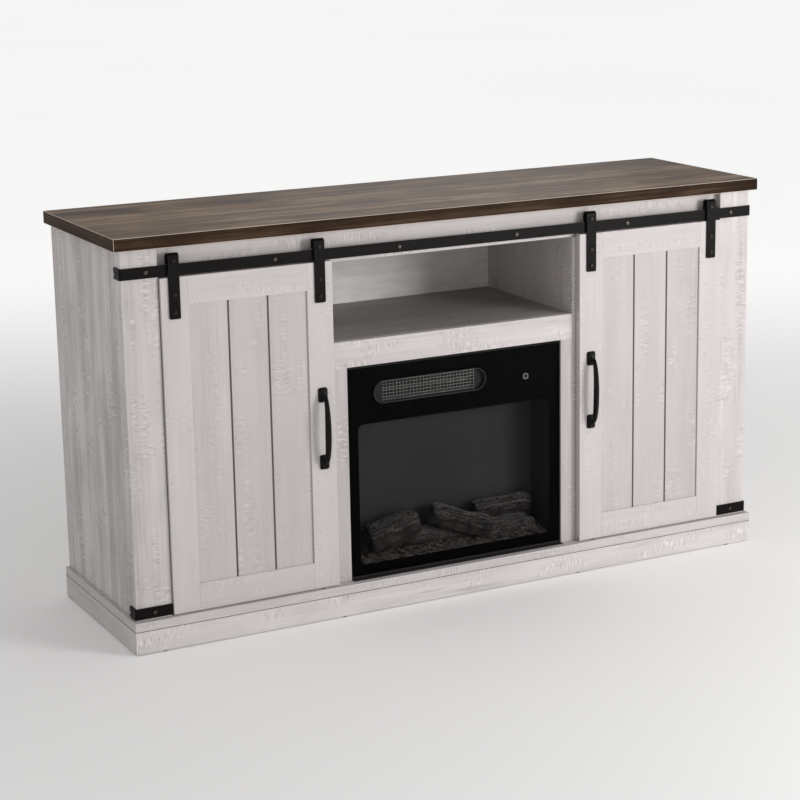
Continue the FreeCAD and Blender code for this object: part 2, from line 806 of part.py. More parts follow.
# Folded brackets tie the case to the partitions.
bracket_low = casing_bottom + bracket_rise
bracket_high = bracket_low + bracket_height
bracket_foot_y = casing_back - bracket_back_inset
bracket_web = block(casing_half, casing_half + bracket_sheet, bracket_foot_y - bracket_web_length,
                    bracket_foot_y, bracket_low, bracket_high)
bracket_foot = block(casing_half, niche_half, bracket_foot_y, bracket_foot_y + bracket_sheet,
                     bracket_low, bracket_high)
bracket_tab = block(niche_half - bracket_sheet, niche_half, bracket_foot_y + bracket_sheet,
                    bracket_foot_y + bracket_sheet + bracket_tab_length, bracket_low, bracket_high)
bracket = bracket_web.fuse([bracket_foot, bracket_tab]).removeSplitter()
save("insert_brackets", *both_sides(bracket))

# ---------------------------------------------------------------- firebox
liner_back = casing_back - liner_back_gap
liner_floor = casing_low + sheet
screen_y = glass_back + screen_depth
spindle_y = screen_y + spindle_behind_screen
spindle_z = liner_floor + spindle_rise
liner_plan = [(-liner_half, liner_floor), (-liner_half, liner_top), (liner_half, liner_top),
              (liner_half, liner_floor), (liner_half - sheet, liner_floor),
              (liner_half - sheet, liner_top - sheet), (-liner_half + sheet, liner_top - sheet),
              (-liner_half + sheet, liner_floor)]
liner_wire = outline([Vector(x, casing_front, z) for x, z in liner_plan])
liner = Part.Face(liner_wire).extrude(Vector(0, liner_back - casing_front, 0))
liner = liner.cut(rod_x(spindle_radius + bearing_clearance, spindle_y, spindle_z, -liner_half - past, 0))
save("firebox_liner", liner)

screen_half = liner_half - sheet - screen_gap
screen_low = liner_floor + screen_gap
screen_high = liner_top - sheet - screen_gap
screen_back = screen_y + screen_thickness
save("flame_screen", block(-screen_half, screen_half, screen_y, screen_back, screen_low, screen_high))

ember_half = screen_half - ember_end_gap
ember_front = casing_front + ember_front_gap
ember_back = screen_y - ember_end_gap
ember_top = liner_floor + ember_height
ember_profile = [(ember_front, liner_floor), (ember_back, liner_floor),
                 (ember_back, ember_top + ember_back_rise), (ember_front + ember_lip_depth, ember_top),
                 (ember_front, ember_top - ember_lip_drop)]
ember_bed = extrude_x(ember_profile, -ember_half, ember_half)
save("ember_bed", ember_bed)

# The logs are one moulding that lies on the embers. Each log's ends are given as a share of the moulding's
# length, a distance behind its middle line and a height over the embers, then its radius.
log_left = -ember_half + log_left_inset
log_span = 2 * ember_half - log_left_inset - log_right_inset
log_middle = (ember_front + ember_back) / 2.0
log_facets = 9
log_flat = 0.88
logs_laid = {
    "left": ((0.0, -2.0, 36.0), (0.283, 0.0, 56.0), 34.0),
    "centre": ((0.379, 4.0, 66.0), (0.717, -12.0, 18.0), 24.0),
    "rear": ((0.656, 13.0, 54.0), (1.0, 13.0, 54.0), 21.0),
    "front": ((0.69, -14.0, 8.0), (0.99, -12.0, 8.0), 17.0),
    "back_billet": ((0.04, 12.0, 16.0), (0.97, 12.0, 18.0), 20.0),
}


def log_end(share, behind, rise):
    """A point on a log's axis."""
    return Vector(log_left + share * log_span, log_middle + behind, ember_top + rise)


def log(start, end, radius):
    """A split log: a faceted bar between two points, with every second corner a little flatter."""
    axis = end.sub(start)
    across = axis.cross(along_z).normalize()
    over = across.cross(axis).normalize()
    corners = []
    for n in range(log_facets):
        a = 2 * math.pi * n / log_facets
        r = radius * (1.0 if n % 2 else log_flat)
        corners.append(start.add(across * (r * math.cos(a)) + over * (r * math.sin(a))))
    return Part.Face(outline(corners)).extrude(axis)


logs = [log(log_end(*start), log_end(*end), radius) for start, end, radius in logs_laid.values()]
log_set = logs[0].fuse(logs[1:]).cut(ember_bed).removeSplitter()
save("log_set", *log_set.Solids)

led_y = screen_back + led_gap
led_z = liner_floor + led_rise
save("led_board", block(-screen_half + led_inset, screen_half - led_inset, led_y, led_y + led_width,
                        led_z, led_z + led_thickness))

# Turning reflector behind the screen: a rod with short bent vanes, on one end in the liner.
spindle_motor_x = liner_half - sheet - spindle_motor_end_gap
spindle = rod_x(spindle_radius, spindle_y, spindle_z, -liner_half - spindle_tail,
                spindle_motor_x + spindle_grip)
vanes = []
vane_start = -liner_half + vane_end_gap
vane_pitch = (spindle_motor_x - vane_end_gap - vane_start) / vane_count
for n in range(vane_count):
    vane_x = vane_start + n * vane_pitch
    vane = block(vane_x, vane_x + vane_pitch * vane_share,
                 spindle_y - vane_thickness / 2.0, spindle_y + vane_thickness / 2.0,
                 spindle_z - spindle_vane, spindle_z + spindle_vane)
    vane.rotate(Vector(vane_x, spindle_y, spindle_z), along_x, n * vane_turn)
    vanes.append(vane)
save("flame_spindle", spindle.fuse(vanes).removeSplitter())
motor_can = rod_x(spindle_motor_radius, spindle_y, spindle_z, spindle_motor_x,
                  spindle_motor_x + spindle_motor_length)
motor_boss = rod_x(spindle_boss_radius, spindle_y, spindle_z, spindle_motor_x - spindle_boss_length,
                   spindle_motor_x)
spindle_bore = rod_x(spindle_radius + bearing_clearance, spindle_y, spindle_z,
                     spindle_motor_x - spindle_boss_length - past, spindle_motor_x + spindle_grip + past)
save("spindle_motor", motor_can.fuse(motor_boss).cut(spindle_bore).removeSplitter())

# ---------------------------------------------------------------- heater
duct_left = slot_offset - slot_length / 2.0 + duct_inset
duct_right = slot_offset + slot_length / 2.0 - duct_inset
grille_y = glass_front + grille_recess
grille_outline = stadium_xz(slot_offset, slot_z, slot_length + 2 * grille_border,
                            slot_height + 2 * grille_border, grille_y)
grille_rows = int(slot_height // grille_pitch)
grille_columns = int((slot_length - slot_height) // grille_pitch)
half_hole = grille_hole / 2.0
grille_holes = []
for row in range(grille_rows):
    for column in range(grille_columns):
        hole_x = slot_offset + (column - (grille_columns - 1) / 2.0) * grille_pitch
        hole_z = slot_z + (row - (grille_rows - 1) / 2.0) * grille_pitch
        grille_holes.append(rectangle_xz(hole_x - half_hole, hole_x + half_hole,
                                         hole_z - half_hole, hole_z + half_hole, grille_y))
save("outlet_grille", plate_xz(grille_outline, grille_holes, grille_thickness))

blower_y = glass_front + blower_depth
duct_front = grille_y + grille_thickness + duct_gap


def scroll(x0, x1):
    """The blower's housing: a curved back with a straight roof and floor that lead to the grille."""
    top_in = Vector(x0, blower_y, slot_z + scroll_inner)
    back_in = Vector(x0, blower_y + scroll_inner, slot_z)
    low_in = Vector(x0, blower_y, slot_z - scroll_inner)
    top_out = Vector(x0, blower_y, slot_z + scroll_outer)
    back_out = Vector(x0, blower_y + scroll_outer, slot_z)
    low_out = Vector(x0, blower_y, slot_z - scroll_outer)
    mouth_low_in = Vector(x0, duct_front, low_in.z)
    mouth_low_out = Vector(x0, duct_front, low_out.z)
    mouth_top_in = Vector(x0, duct_front, top_in.z)
    mouth_top_out = Vector(x0, duct_front, top_out.z)
    edges = [
        Part.LineSegment(mouth_top_in, top_in).toShape(),
        Part.Arc(top_in, back_in, low_in).toShape(),
        Part.LineSegment(low_in, mouth_low_in).toShape(),
        Part.LineSegment(mouth_low_in, mouth_low_out).toShape(),
        Part.LineSegment(mouth_low_out, low_out).toShape(),
        Part.Arc(low_out, back_out, top_out).toShape(),
        Part.LineSegment(top_out, mouth_top_out).toShape(),
        Part.LineSegment(mouth_top_out, mouth_top_in).toShape(),
    ]
    return Part.Face(Part.Wire(edges)).extrude(Vector(x1 - x0, 0, 0))


def end_plate(x0, x1):
    """One end of the housing, with the shaft's bearing hole."""
    disc = rod_x(scroll_outer, blower_y, slot_z, x0, x1)
    cheek = block(x0, x1, duct_front, blower_y, slot_z - scroll_outer, slot_z + scroll_outer)
    bore = rod_x(shaft_radius + bearing_clearance, blower_y, slot_z, x0 - past, x1 + past)
    return disc.fuse(cheek).cut(bore)


left_end = end_plate(duct_left - sheet, duct_left)
right_end = end_plate(duct_right, duct_right + sheet)
housing = scroll(duct_left, duct_right).fuse([left_end, right_end])
intake = block(duct_left + intake_inset, duct_right - intake_inset, blower_y - intake_front,
               blower_y + intake_back, slot_z + scroll_inner - intake_reach,
               slot_z + scroll_outer + intake_reach)
save("blower_housing", housing.cut(intake).removeSplitter())

wheel_left = duct_left + blower_end_gap
wheel_right = duct_right - blower_end_gap
shaft = rod_x(shaft_radius, blower_y, slot_z, duct_left - sheet - shaft_tail, duct_right + sheet + shaft_grip)
wheel_parts = []
for disc_x in (wheel_left, (wheel_left + wheel_right) / 2.0, wheel_right - wheel_disc):
    wheel_parts.append(rod_x(blower_radius, blower_y, slot_z, disc_x, disc_x + wheel_disc))
blade_back = blower_y + blower_radius - blade_inset
blade_front = blade_back - blade_width
for n in range(blade_count):
    blade = block(wheel_left, wheel_right, blade_front, blade_back,
                  slot_z - blade_thickness / 2.0, slot_z + blade_thickness / 2.0)
    blade.rotate(Vector(0, (blade_front + blade_back) / 2.0, slot_z), along_x, blade_tilt)
    blade.rotate(Vector(0, blower_y, slot_z), along_x, 360.0 * n / blade_count)
    wheel_parts.append(blade)
save("blower_wheel", shaft.fuse(wheel_parts).removeSplitter())

motor_left = duct_right + sheet + motor_gap
motor_half = motor_size / 2.0
motor = block(motor_left, motor_left + motor_length, blower_y - motor_half, blower_y + motor_half,
              slot_z - motor_half, slot_z + motor_half)
motor = motor.makeChamfer(motor_corner, motor.Edges)
motor_bore = rod_x(shaft_radius + bearing_clearance, blower_y, slot_z, motor_left - past,
                   motor_left + shaft_grip)
save("blower_motor", motor.cut(motor_bore))

# Finned ceramic heater between the grille and the wheel.
heater_front = duct_front + heater_gap
heater_back = heater_front + heater_depth
heater_low = slot_z - slot_height / 2.0 + heater_margin
heater_high = slot_z + slot_height / 2.0 - heater_margin
heater_left = duct_left + heater_margin
heater_right = duct_right - heater_margin
bars = []
for bar_z in (heater_low, slot_z - heater_bar_height / 2.0, heater_high - heater_bar_height):
    bars.append(block(heater_left, heater_right, heater_front, heater_back, bar_z, bar_z + heater_bar_height))
fins = []
fin_count = int((heater_right - heater_left - 2 * heater_margin) // heater_fin_pitch)
for n in range(fin_count):
    fin_x = heater_left + heater_margin + n * heater_fin_pitch
    fins.append(block(fin_x, fin_x + heater_fin_thickness,
                      heater_front + heater_fin_inset, heater_back - heater_fin_inset,
                      heater_low + heater_fin_inset, heater_high - heater_fin_inset))
save("heater_element", bars[0].fuse(bars[1:] + fins).removeSplitter())

cutout_low = Vector(duct_right - cutout_inset, (heater_front + heater_back) / 2.0, slot_z + scroll_outer)
cutout_top = cutout_low.add(Vector(0, 0, cutout_height))
save("thermal_cutout", rod(cutout_radius, cutout_low, cutout_top))

# The board behind the glass carries the touch key's sensor pad.
key_x = insert_half - key_from_side
key_z = slot_z - key_below_slot
board_front = glass_back + control_board_gap
control_board_left = key_x - control_board_width * control_board_left_share
control_board = block(control_board_left, control_board_left + control_board_width,
                      board_front, board_front + control_board_thickness,
                      slot_z - control_board_height / 2.0, slot_z + control_board_height / 2.0)
key_pad = rod_y(key_radius, key_x, key_z, glass_back, board_front)
save("control_board", control_board.fuse(key_pad).removeSplitter())

print("parts written:", len([f for f in os.listdir("parts") if f.endswith(".step")]))
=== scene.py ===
import math
import random

import bmesh
import bpy
from mathutils import Matrix, Vector, noise


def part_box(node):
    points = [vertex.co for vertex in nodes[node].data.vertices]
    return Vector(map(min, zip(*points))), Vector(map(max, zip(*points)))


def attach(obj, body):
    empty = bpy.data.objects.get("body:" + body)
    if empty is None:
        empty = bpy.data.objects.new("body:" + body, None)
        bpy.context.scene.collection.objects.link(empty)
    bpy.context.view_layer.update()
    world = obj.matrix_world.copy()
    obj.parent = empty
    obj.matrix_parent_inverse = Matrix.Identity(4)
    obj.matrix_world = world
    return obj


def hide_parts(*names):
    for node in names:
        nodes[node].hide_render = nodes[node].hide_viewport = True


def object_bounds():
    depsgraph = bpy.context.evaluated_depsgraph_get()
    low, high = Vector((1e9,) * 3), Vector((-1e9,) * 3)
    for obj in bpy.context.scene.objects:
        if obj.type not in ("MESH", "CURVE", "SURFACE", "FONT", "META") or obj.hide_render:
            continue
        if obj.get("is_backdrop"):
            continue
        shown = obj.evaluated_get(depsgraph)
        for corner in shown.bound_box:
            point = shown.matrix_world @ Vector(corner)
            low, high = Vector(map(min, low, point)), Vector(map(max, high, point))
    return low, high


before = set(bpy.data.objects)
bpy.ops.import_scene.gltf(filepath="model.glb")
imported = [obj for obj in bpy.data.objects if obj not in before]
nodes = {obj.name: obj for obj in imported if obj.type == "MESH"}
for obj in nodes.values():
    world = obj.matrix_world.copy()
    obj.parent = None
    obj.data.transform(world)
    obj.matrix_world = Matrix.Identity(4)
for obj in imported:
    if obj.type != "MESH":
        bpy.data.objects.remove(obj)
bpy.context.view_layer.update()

mm = 0.001

# ---------------------------------------------------------------- base
# A plinth of particle board: a bottom board on edge-on skirts, cam-locked together, wrapped in a printed
# white-washed oak laminate whose grain runs the long way. It stands on black nylon glides, nailed in.


def linear(colour):
    """An sRGB hex colour as linear RGBA."""
    parts = [int(colour[i:i + 2], 16) / 255 for i in (1, 3, 5)]
    return tuple(c / 12.92 if c <= 0.04045 else ((c + 0.055) / 1.055) ** 2.4 for c in parts) + (1.0,)


def add(tree, kind, inputs=None, output=0, stops=None, **settings):
    """Add one node with its settings, input values or links, and colour stops, and return one output."""
    node = tree.nodes.new("ShaderNode" + kind)
    for key, value in settings.items():
        setattr(node, key, value)
    for key, value in (inputs or {}).items():
        if isinstance(value, bpy.types.NodeSocket):
            tree.links.new(value, node.inputs[key])
        else:
            node.inputs[key].default_value = value
    if stops:
        ramp = node.color_ramp
        while len(ramp.elements) < len(stops):
            ramp.elements.new(1.0)
        for element, (place, colour) in zip(ramp.elements, stops):
            element.position = place
            element.color = linear(colour) if isinstance(colour, str) else (colour, colour, colour, 1.0)
    return node.outputs[output]


def new_material(name):
    """An empty node material: the material, its tree, its Principled shader and the place on its piece."""
    material = bpy.data.materials.new(name)
    material.use_nodes = True
    tree = material.node_tree
    return material, tree, tree.nodes["Principled BSDF"], add(tree, "TexCoord", output="Object")


def set_surface(tree, shader, values):
    """Link or set the shader's own sockets."""
    for key, value in values.items():
        if isinstance(value, bpy.types.NodeSocket):
            tree.links.new(value, shader.inputs[key])
        else:
            shader.inputs[key].default_value = value


def dress(names, material):
    """Give CAD pieces their finish."""
    for name in names:
        slots = nodes[name].data.materials
        slots.clear()
        slots.append(material)


def cells(grain, across, along):
    """Pattern scale for a cell of this many millimetres across and along the grain axis."""
    return tuple(1000.0 / (along if axis == grain else across) for axis in "xyz")


# A printed decor: the tones of its soft bands from dark to light, the shade and strength of its grain lines,
# the two shades and the strength of its saw ticks, and the shade and strength of the painted light at a fold.
oak_decor = {
    "tones": ("#ADA7A6", "#B9B3B2", "#C1BBBA", "#CCC7C6"),
    "lines": ("#8F8987", 0.32), "ticks": ("#989290", "#DAD5D3", 0.42), "arris": ("#D4CFCD", 0.5),
    "roughness": (0.58, 0.72), "specular": 0.3, "relief": 0.2 * mm,
}


def laminate(name, grain, shift, decor, contrast=1.0, plank=None):
    """Printed wood decor on board: soft bands, thin grain lines, and patches of saw marks across them. The
    emboss follows the print, so the eye sees a dry surface with a low sheen. Each fold takes a painted line:
    a painted highlight along board edges, painted shade down grooves. Upright faces can take painted shade
    too."""
    material, tree, shader, place = new_material(name)
    normal = add(tree, "NewGeometry", output="True Normal")
    facing = add(tree, "VectorMath", {0: normal}, operation="ABSOLUTE")
    facing = [add(tree, "SeparateXYZ", {0: facing}, output=axis) for axis in "XYZ"]
    # The lines and ticks strengthen with the print, up to a point.
    marks_contrast = min(contrast, 1.25)
    if grain == "x":
        # On an end face the decor's length turns the corner and runs front to back.
        x, y, z = [add(tree, "SeparateXYZ", {0: place}, output=axis) for axis in "XYZ"]
        turned = add(tree, "CombineXYZ", {"X": y, "Y": x, "Z": z})
        end_face = add(tree, "Math", {0: facing[0], 1: 0.75}, operation="GREATER_THAN")
        place = add(tree, "Mix", {0: end_face, 4: place, 5: turned}, output=1, data_type="VECTOR")
    place = add(tree, "Mapping", {"Vector": place, "Location": shift})
    if plank:
        # Each plank of a grooved panel shows another stretch of the print.
        first, pitch = plank
        across = add(tree, "SeparateXYZ", {0: place}, output="X")
        across = add(tree, "Math", {0: across, 1: first + shift[0]}, operation="SUBTRACT")
        across = add(tree, "Math", {0: across, 1: pitch}, operation="DIVIDE")
        number = add(tree, "Math", {0: across}, operation="FLOOR")
        jump = add(tree, "CombineXYZ", {"X": number, "Y": number, "Z": number})
        place = add(tree, "VectorMath", {0: place, 1: jump}, operation="ADD")
    # Each layer of the print: its cell across and along the grain in millimetres, and its detail.
    layers = {
        "streak": (6, 210, 4.0), "band": (50, 1300, 2.0), "patch": (75, 150, 3.0), "line": (2.2, 90, 2.0),
        "tick": (15, 3.2, 1.0), "lined": (45, 170, 2.0), "sawn": (34, 120, 2.0),
    }
    found = {}
    for layer, (across, along, detail) in layers.items():
        spot = add(tree, "Mapping", {"Vector": place, "Scale": cells(grain, across, along)})
        found[layer] = add(tree, "TexNoise", {"Vector": spot, "Scale": 1.0, "Detail": detail,
                                              "Roughness": 0.55, "Distortion": 0.2})
    tone = 0.0
    for layer, share in (("streak", 0.34), ("band", 0.4), ("patch", 0.26)):
        tone = add(tree, "Math", {0: found[layer], 1: share, 2: tone}, operation="MULTIPLY_ADD")
    # A stronger print takes its tones from a narrower stretch of the pattern.
    spread = 0.17 / contrast
    places = (0.5 - spread, 0.5 - 0.35 * spread, 0.5 + 0.35 * spread, 0.5 + spread)
    colour = add(tree, "ValToRGB", {0: tone}, stops=list(zip(places, decor["tones"])))
    masks = {}
    for mask, layer, start, end in (("line", "line", 0.56, 0.68), ("lined", "lined", 0.46, 0.62),
                                    ("dark", "tick", 0.55, 0.64), ("pale", "tick", 0.44, 0.35),
                                    ("sawn", "sawn", 0.5, 0.62)):
        masks[mask] = add(tree, "MapRange", {0: found[layer], 1: start, 2: end})
    lines = add(tree, "Math", {0: masks["line"], 1: masks["lined"]}, operation="MULTIPLY")
    dark_ticks = add(tree, "Math", {0: masks["dark"], 1: masks["sawn"]}, operation="MULTIPLY")
    pale_ticks = add(tree, "Math", {0: masks["pale"], 1: masks["sawn"]}, operation="MULTIPLY")
    dark, pale, tick_share = decor["ticks"]
    for mark, shade, share in ((lines, *decor["lines"]), (dark_ticks, dark, tick_share),
                               (pale_ticks, pale, tick_share)):
        amount = add(tree, "Math", {0: mark, 1: share * marks_contrast}, operation="MULTIPLY")
        colour = add(tree, "MixRGB", {0: amount, 1: colour, 2: linear(shade)})
    specular = decor["specular"]
    # Upright faces are multiplied darker: painted shade, so that the top reads lighter as if it took a sheen.
    if "upright_painted_shade" in decor:
        upright = add(tree, "Math", {0: facing[2], 1: 0.5}, operation="LESS_THAN")
        colour = add(tree, "MixRGB", {0: upright, 1: colour, 2: linear(decor["upright_painted_shade"])},
                     blend_type="MULTIPLY")
        specular = add(tree, "MapRange", {0: upright, 3: specular, 4: decor["edge_specular"]})
    # Where the surface faces none of the three axes squarely, the foil is folded. There the decor's fold tone
    # is
    # painted on: a painted highlight along edges, painted shade down grooves.
    shade, share = decor["arris"]
    flattest = add(tree, "Math", {0: facing[0], 1: facing[1]}, operation="MAXIMUM")
    flattest = add(tree, "Math", {0: flattest, 1: facing[2]}, operation="MAXIMUM")
    fold_light_mask = add(tree, "Math", {0: flattest, 1: 0.92}, operation="LESS_THAN")
    fold_light_mask = add(tree, "Math", {0: fold_light_mask, 1: share}, operation="MULTIPLY")
    colour = add(tree, "MixRGB", {0: fold_light_mask, 1: colour, 2: linear(shade)})
    height = add(tree, "Math", {0: lines, 1: -0.7, 2: found["streak"]}, operation="MULTIPLY_ADD")
    height = add(tree, "Math", {0: dark_ticks, 1: -0.5, 2: height}, operation="MULTIPLY_ADD")
    bump = add(tree, "Bump", {"Strength": 0.6, "Distance": decor["relief"], "Height": height})
    low, high = decor["roughness"]
    roughness = add(tree, "MapRange", {0: found["streak"], 1: 0.35, 2: 0.65, 3: low, 4: high})
    set_surface(tree, shader, {"Base Color": colour, "Roughness": roughness, "Normal": bump,
                               "Specular IOR Level": specular})
    return material


dress(["bottom_board"], laminate("whitewashed_oak_base_board", "x", (0.31, 0.77, 0.12), oak_decor))
# The skirts' tones are painted lighter than the carcass's, as painted light on the base, with stronger saw
# marks.
skirt_painted_light_decor = dict(oak_decor, tones=("#B7B1B0", "#C3BDBC", "#CBC5C4", "#D5D0CF"),
                   ticks=("#9D9795", "#E4E0DE", 0.42))
dress(["base_skirts"], laminate("whitewashed_oak_skirts", "x", (1.91, 0.23, 0.64), skirt_painted_light_decor, contrast=1.2))


def mesh_piece(name, bm, material, body, replaced=(), smooth=60.0):
    """Turn a bmesh into a piece that rides on a CAD body, smooth except over sharp edges."""
    bmesh.ops.remove_doubles(bm, verts=bm.verts, dist=1e-6)
    bmesh.ops.recalc_face_normals(bm, faces=bm.faces)
    limit = math.radians(smooth)
    for face in bm.faces:
        face.smooth = True
    for edge in bm.edges:
        edge.smooth = len(edge.link_faces) == 2 and edge.calc_face_angle() < limit
    mesh = bpy.data.meshes.new(name)
    bm.to_mesh(mesh)
    bm.free()
    piece = bpy.data.objects.new(name, mesh)
    bpy.context.scene.collection.objects.link(piece)
    mesh.materials.append(material)
    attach(piece, body)
    if replaced:
        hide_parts(*replaced)
    return piece


def bridge(bm, rings, closed=False):
    """Skin a row of equal closed rings of points, and cap its ends unless the row is closed."""
    made = [[bm.verts.new(p) for p in ring] for ring in rings]
    pairs = list(zip(made, made[1:])) + ([(made[-1], made[0])] if closed else [])
    for first, second in pairs:
        for n in range(len(first)):
            m = (n + 1) % len(first)
            bm.faces.new((first[n], first[m], second[m], second[n]))
    if not closed:
        bm.faces.new(made[0])
        bm.faces.new(list(reversed(made[-1])))


def skirt_seam():
    """The joint where the bottom board lies on the skirts: a hairline strip coloured dark as painted shade of
    the gap.
    """
    material, tree, shader, place = new_material("seam_painted_shade")
    chips = add(tree, "TexNoise", {"Vector": place, "Scale": 1000 / 3.0, "Detail": 3.0})
    # The dark browns stand in for the shadow in the joint: painted shade.
    colour = add(tree, "ValToRGB", {0: chips}, stops=[(0.35, "#332D29"), (0.7, "#544A42")])
    set_surface(tree, shader, {"Base Color": colour, "Roughness": 0.9})
    low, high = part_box("bottom_board")
    width, proud, sunk = 0.9 * mm, 0.15 * mm, -1.0 * mm
    bottom, top = low.z - width / 2, low.z + width / 2
    ring = [(sunk, bottom), (sunk, top), (proud, top), (proud, bottom)]
    bm = bmesh.new()
    corners = ((low.x, high.y, -1, 0), (low.x, low.y, -1, -1), (high.x, low.y, 1, -1), (high.x, high.y, 1, 0))
    bridge(bm, [[Vector((x + a * out, y + b * out, z)) for out, z in ring] for x, y, a, b in corners])
    mesh_piece("base_seam", bm, material, "cabinet")


skirt_seam()


def moulded_plastic(name, colour, roughness, grain_mm):
    """Injection-moulded plastic with a fine spark-eroded texture, which breaks its highlights up."""
    material, tree, shader, place = new_material(name)
    grit = add(tree, "TexNoise", {"Vector": place, "Scale": 1000.0 / grain_mm, "Detail": 2.0})
    cloud = add(tree, "TexNoise", {"Vector": place, "Scale": 40.0, "Detail": 2.0})
    shade = add(tree, "MapRange", {0: cloud, 3: 0.85, 4: 1.1})
    tint = add(tree, "VectorMath", {0: linear(colour)[:3], "Scale": shade}, operation="SCALE")
    rough = add(tree, "MapRange", {0: grit, 3: roughness - 0.08, 4: roughness + 0.08})
    bump = add(tree, "Bump", {"Strength": 0.4, "Distance": 0.08 * mm, "Height": grit})
    set_surface(tree, shader, {"Base Color": tint, "Roughness": rough, "Normal": bump, "IOR": 1.53})
    return material


black_nylon = moulded_plastic("black_nylon", "#1A1A1B", 0.45, 0.9)
dress(["floor_glides"], black_nylon)

# ---------------------------------------------------------------- carcass
# Side panels mitred to the front stiles, rear posts set off by a shadow gap, an apron behind the rail and
# two partitions. Each board is laminated particle board with its grain upright, the apron's runs across.

# Where each board's foil was cut from the roll, in metres, and how strong its print came out.
upright_boards = {
    "side_panel_left": (0.13, 0.41, 0.83, 2.6), "side_panel_right": (2.47, 1.19, 0.36, 2.6),
    "rear_posts": (0.95, 2.71, 1.53, 1.4), "front_stile_left": (3.35, 0.27, 2.2, 1.4),
    "front_stile_right": (4.21, 1.63, 0.74, 1.1), "partition_left": (1.77, 3.3, 0.51, 1.2),
    "partition_right": (5.13, 0.88, 1.24, 1.2),
}
for board, (*shift, contrast) in upright_boards.items():
    dress([board], laminate("whitewashed_oak_" + board, "z", shift, oak_decor, contrast))
dress(["front_apron"], laminate("whitewashed_oak_apron", "x", (0.57, 1.36, 3.9), oak_decor))

# ---------------------------------------------------------------- niche, side shelves and insert surround
# The niche shelf with its deeper fascia, the strips beside the insert, and an adjustable shelf a side on
# zinc-plated pins. The boards are laminated. The strips' grain is upright and the others' runs across.

# The niche shelf's tones are darker and greyer than the fronts': painted shade over the whole shelf.
niche_shelf_shade_decor = dict(oak_decor, tones=("#8A8584", "#96918F", "#A09B99", "#ACA7A5"), lines=("#6A6563", 0.3),
                   ticks=("#736E6C", "#A5A09E", 0.34))
dress(["niche_shelf"], laminate("whitewashed_oak_niche_shelf", "x", (2.9, 0.37, 1.06), niche_shelf_shade_decor))
dress(["shelf_fascia"], laminate("whitewashed_oak_fascia", "x", (4.6, 2.17, 0.45), oak_decor, 1.1))
# The strips are set a shade darker than the fascia.
strip_decor = dict(oak_decor, tones=("#A09A99", "#ACA6A5", "#B4AEAD", "#BFBAB9"))
dress(["surround_strips"], laminate("whitewashed_oak_strips", "z", (0.71, 1.52, 4.4), strip_decor, 1.2))
dress(["side_shelves"], laminate("whitewashed_oak_side_shelves", "x", (1.21, 4.07, 2.3), oak_decor))


def plated_steel(name, colour, roughness, streak_mm):
    """Bare or plated steel with the drawing marks left in it, seen as fine uneven streaks in its gloss."""
    material, tree, shader, place = new_material(name)
    spot = add(tree, "Mapping", {"Vector": place, "Scale": cells("x", streak_mm, 14)})
    streak = add(tree, "TexNoise", {"Vector": spot, "Scale": 1.0, "Detail": 3.0})
    cloud = add(tree, "TexNoise", {"Vector": place, "Scale": 60.0, "Detail": 3.0})
    shade = add(tree, "MapRange", {0: cloud, 3: 0.8, 4: 1.1})
    tint = add(tree, "VectorMath", {0: linear(colour)[:3], "Scale": shade}, operation="SCALE")
    rough = add(tree, "MapRange", {0: streak, 3: roughness - 0.1, 4: roughness + 0.12})
    bump = add(tree, "Bump", {"Strength": 0.25, "Distance": 0.05 * mm, "Height": streak})
    set_surface(tree, shader, {"Base Color": tint, "Metallic": 1.0, "Roughness": rough, "Normal": bump})
    return material


zinc = plated_steel("zinc_plated_steel", "#B9BDBF", 0.34, 0.8)
dress(["shelf_pins"], zinc)

# ---------------------------------------------------------------- back panels
# Hardboard, 5 mm, pinned to the back edges of the boards. Its face is painted to match the oak, and the
# cable outlets are bored through it, so that their rims show raw brown fibre.


def painted_hardboard():
    """Roller-painted hardboard: faint mottling from the roller, with raw fibre inside the outlets."""
    material, tree, shader, place = new_material("painted_hardboard")
    normal = add(tree, "NewGeometry", output="True Normal")
    flat = add(tree, "VectorMath", {0: normal, 1: (0.0, 1.0, 0.0)}, output="Value", operation="DOT_PRODUCT")
    flat = add(tree, "Math", {0: flat}, operation="ABSOLUTE")
    raw = add(tree, "Math", {0: flat, 1: 0.5}, operation="LESS_THAN")
    stipple = add(tree, "TexNoise", {"Vector": place, "Scale": 1000 / 2.2, "Detail": 3.0})
    spot = add(tree, "Mapping", {"Vector": place, "Scale": cells("x", 16, 60)})
    streak = add(tree, "TexNoise", {"Vector": spot, "Scale": 1.0, "Detail": 4.0, "Distortion": 0.3})
    painted = add(tree, "ValToRGB", {0: streak}, stops=[(0.3, "#CECAC7"), (0.5, "#D7D4D1"), (0.7, "#E0DDDA")])
    fibre = add(tree, "ValToRGB", {0: stipple}, stops=[(0.3, "#5A4532"), (0.7, "#7A6147")])
    colour = add(tree, "MixRGB", {0: raw, 1: painted, 2: fibre})
    bump = add(tree, "Bump", {"Strength": 0.35, "Distance": 0.12 * mm, "Height": stipple})
    set_surface(tree, shader, {"Base Color": colour, "Roughness": 0.7, "Normal": bump})
    return material


dress(["back_panel_niche", "back_panels_side"], painted_hardboard())

# ---------------------------------------------------------------- top slab
# A 25 mm slab in dark walnut laminate, whose print runs along the length in long soft streaks. Its upright
# faces are painted darker than its top as painted shade, and its corners carry a thin pale painted highlight.

walnut_decor = {
    "tones": ("#44342A", "#65503F", "#7C6550", "#9C8670"),
    "lines": ("#2C221B", 0.3), "ticks": ("#3B2E26", "#8A7462", 0.15), "arris": ("#D2C4B7", 0.9),
    "upright_painted_shade": "#766D67", "edge_specular": 0.04,
    "roughness": (0.52, 0.58), "specular": 0.25, "relief": 0.14 * mm,
}
dress(["top_slab"], laminate("walnut_laminate", "x", (0.83, 0.19, 0.55), walnut_decor, contrast=1.9))

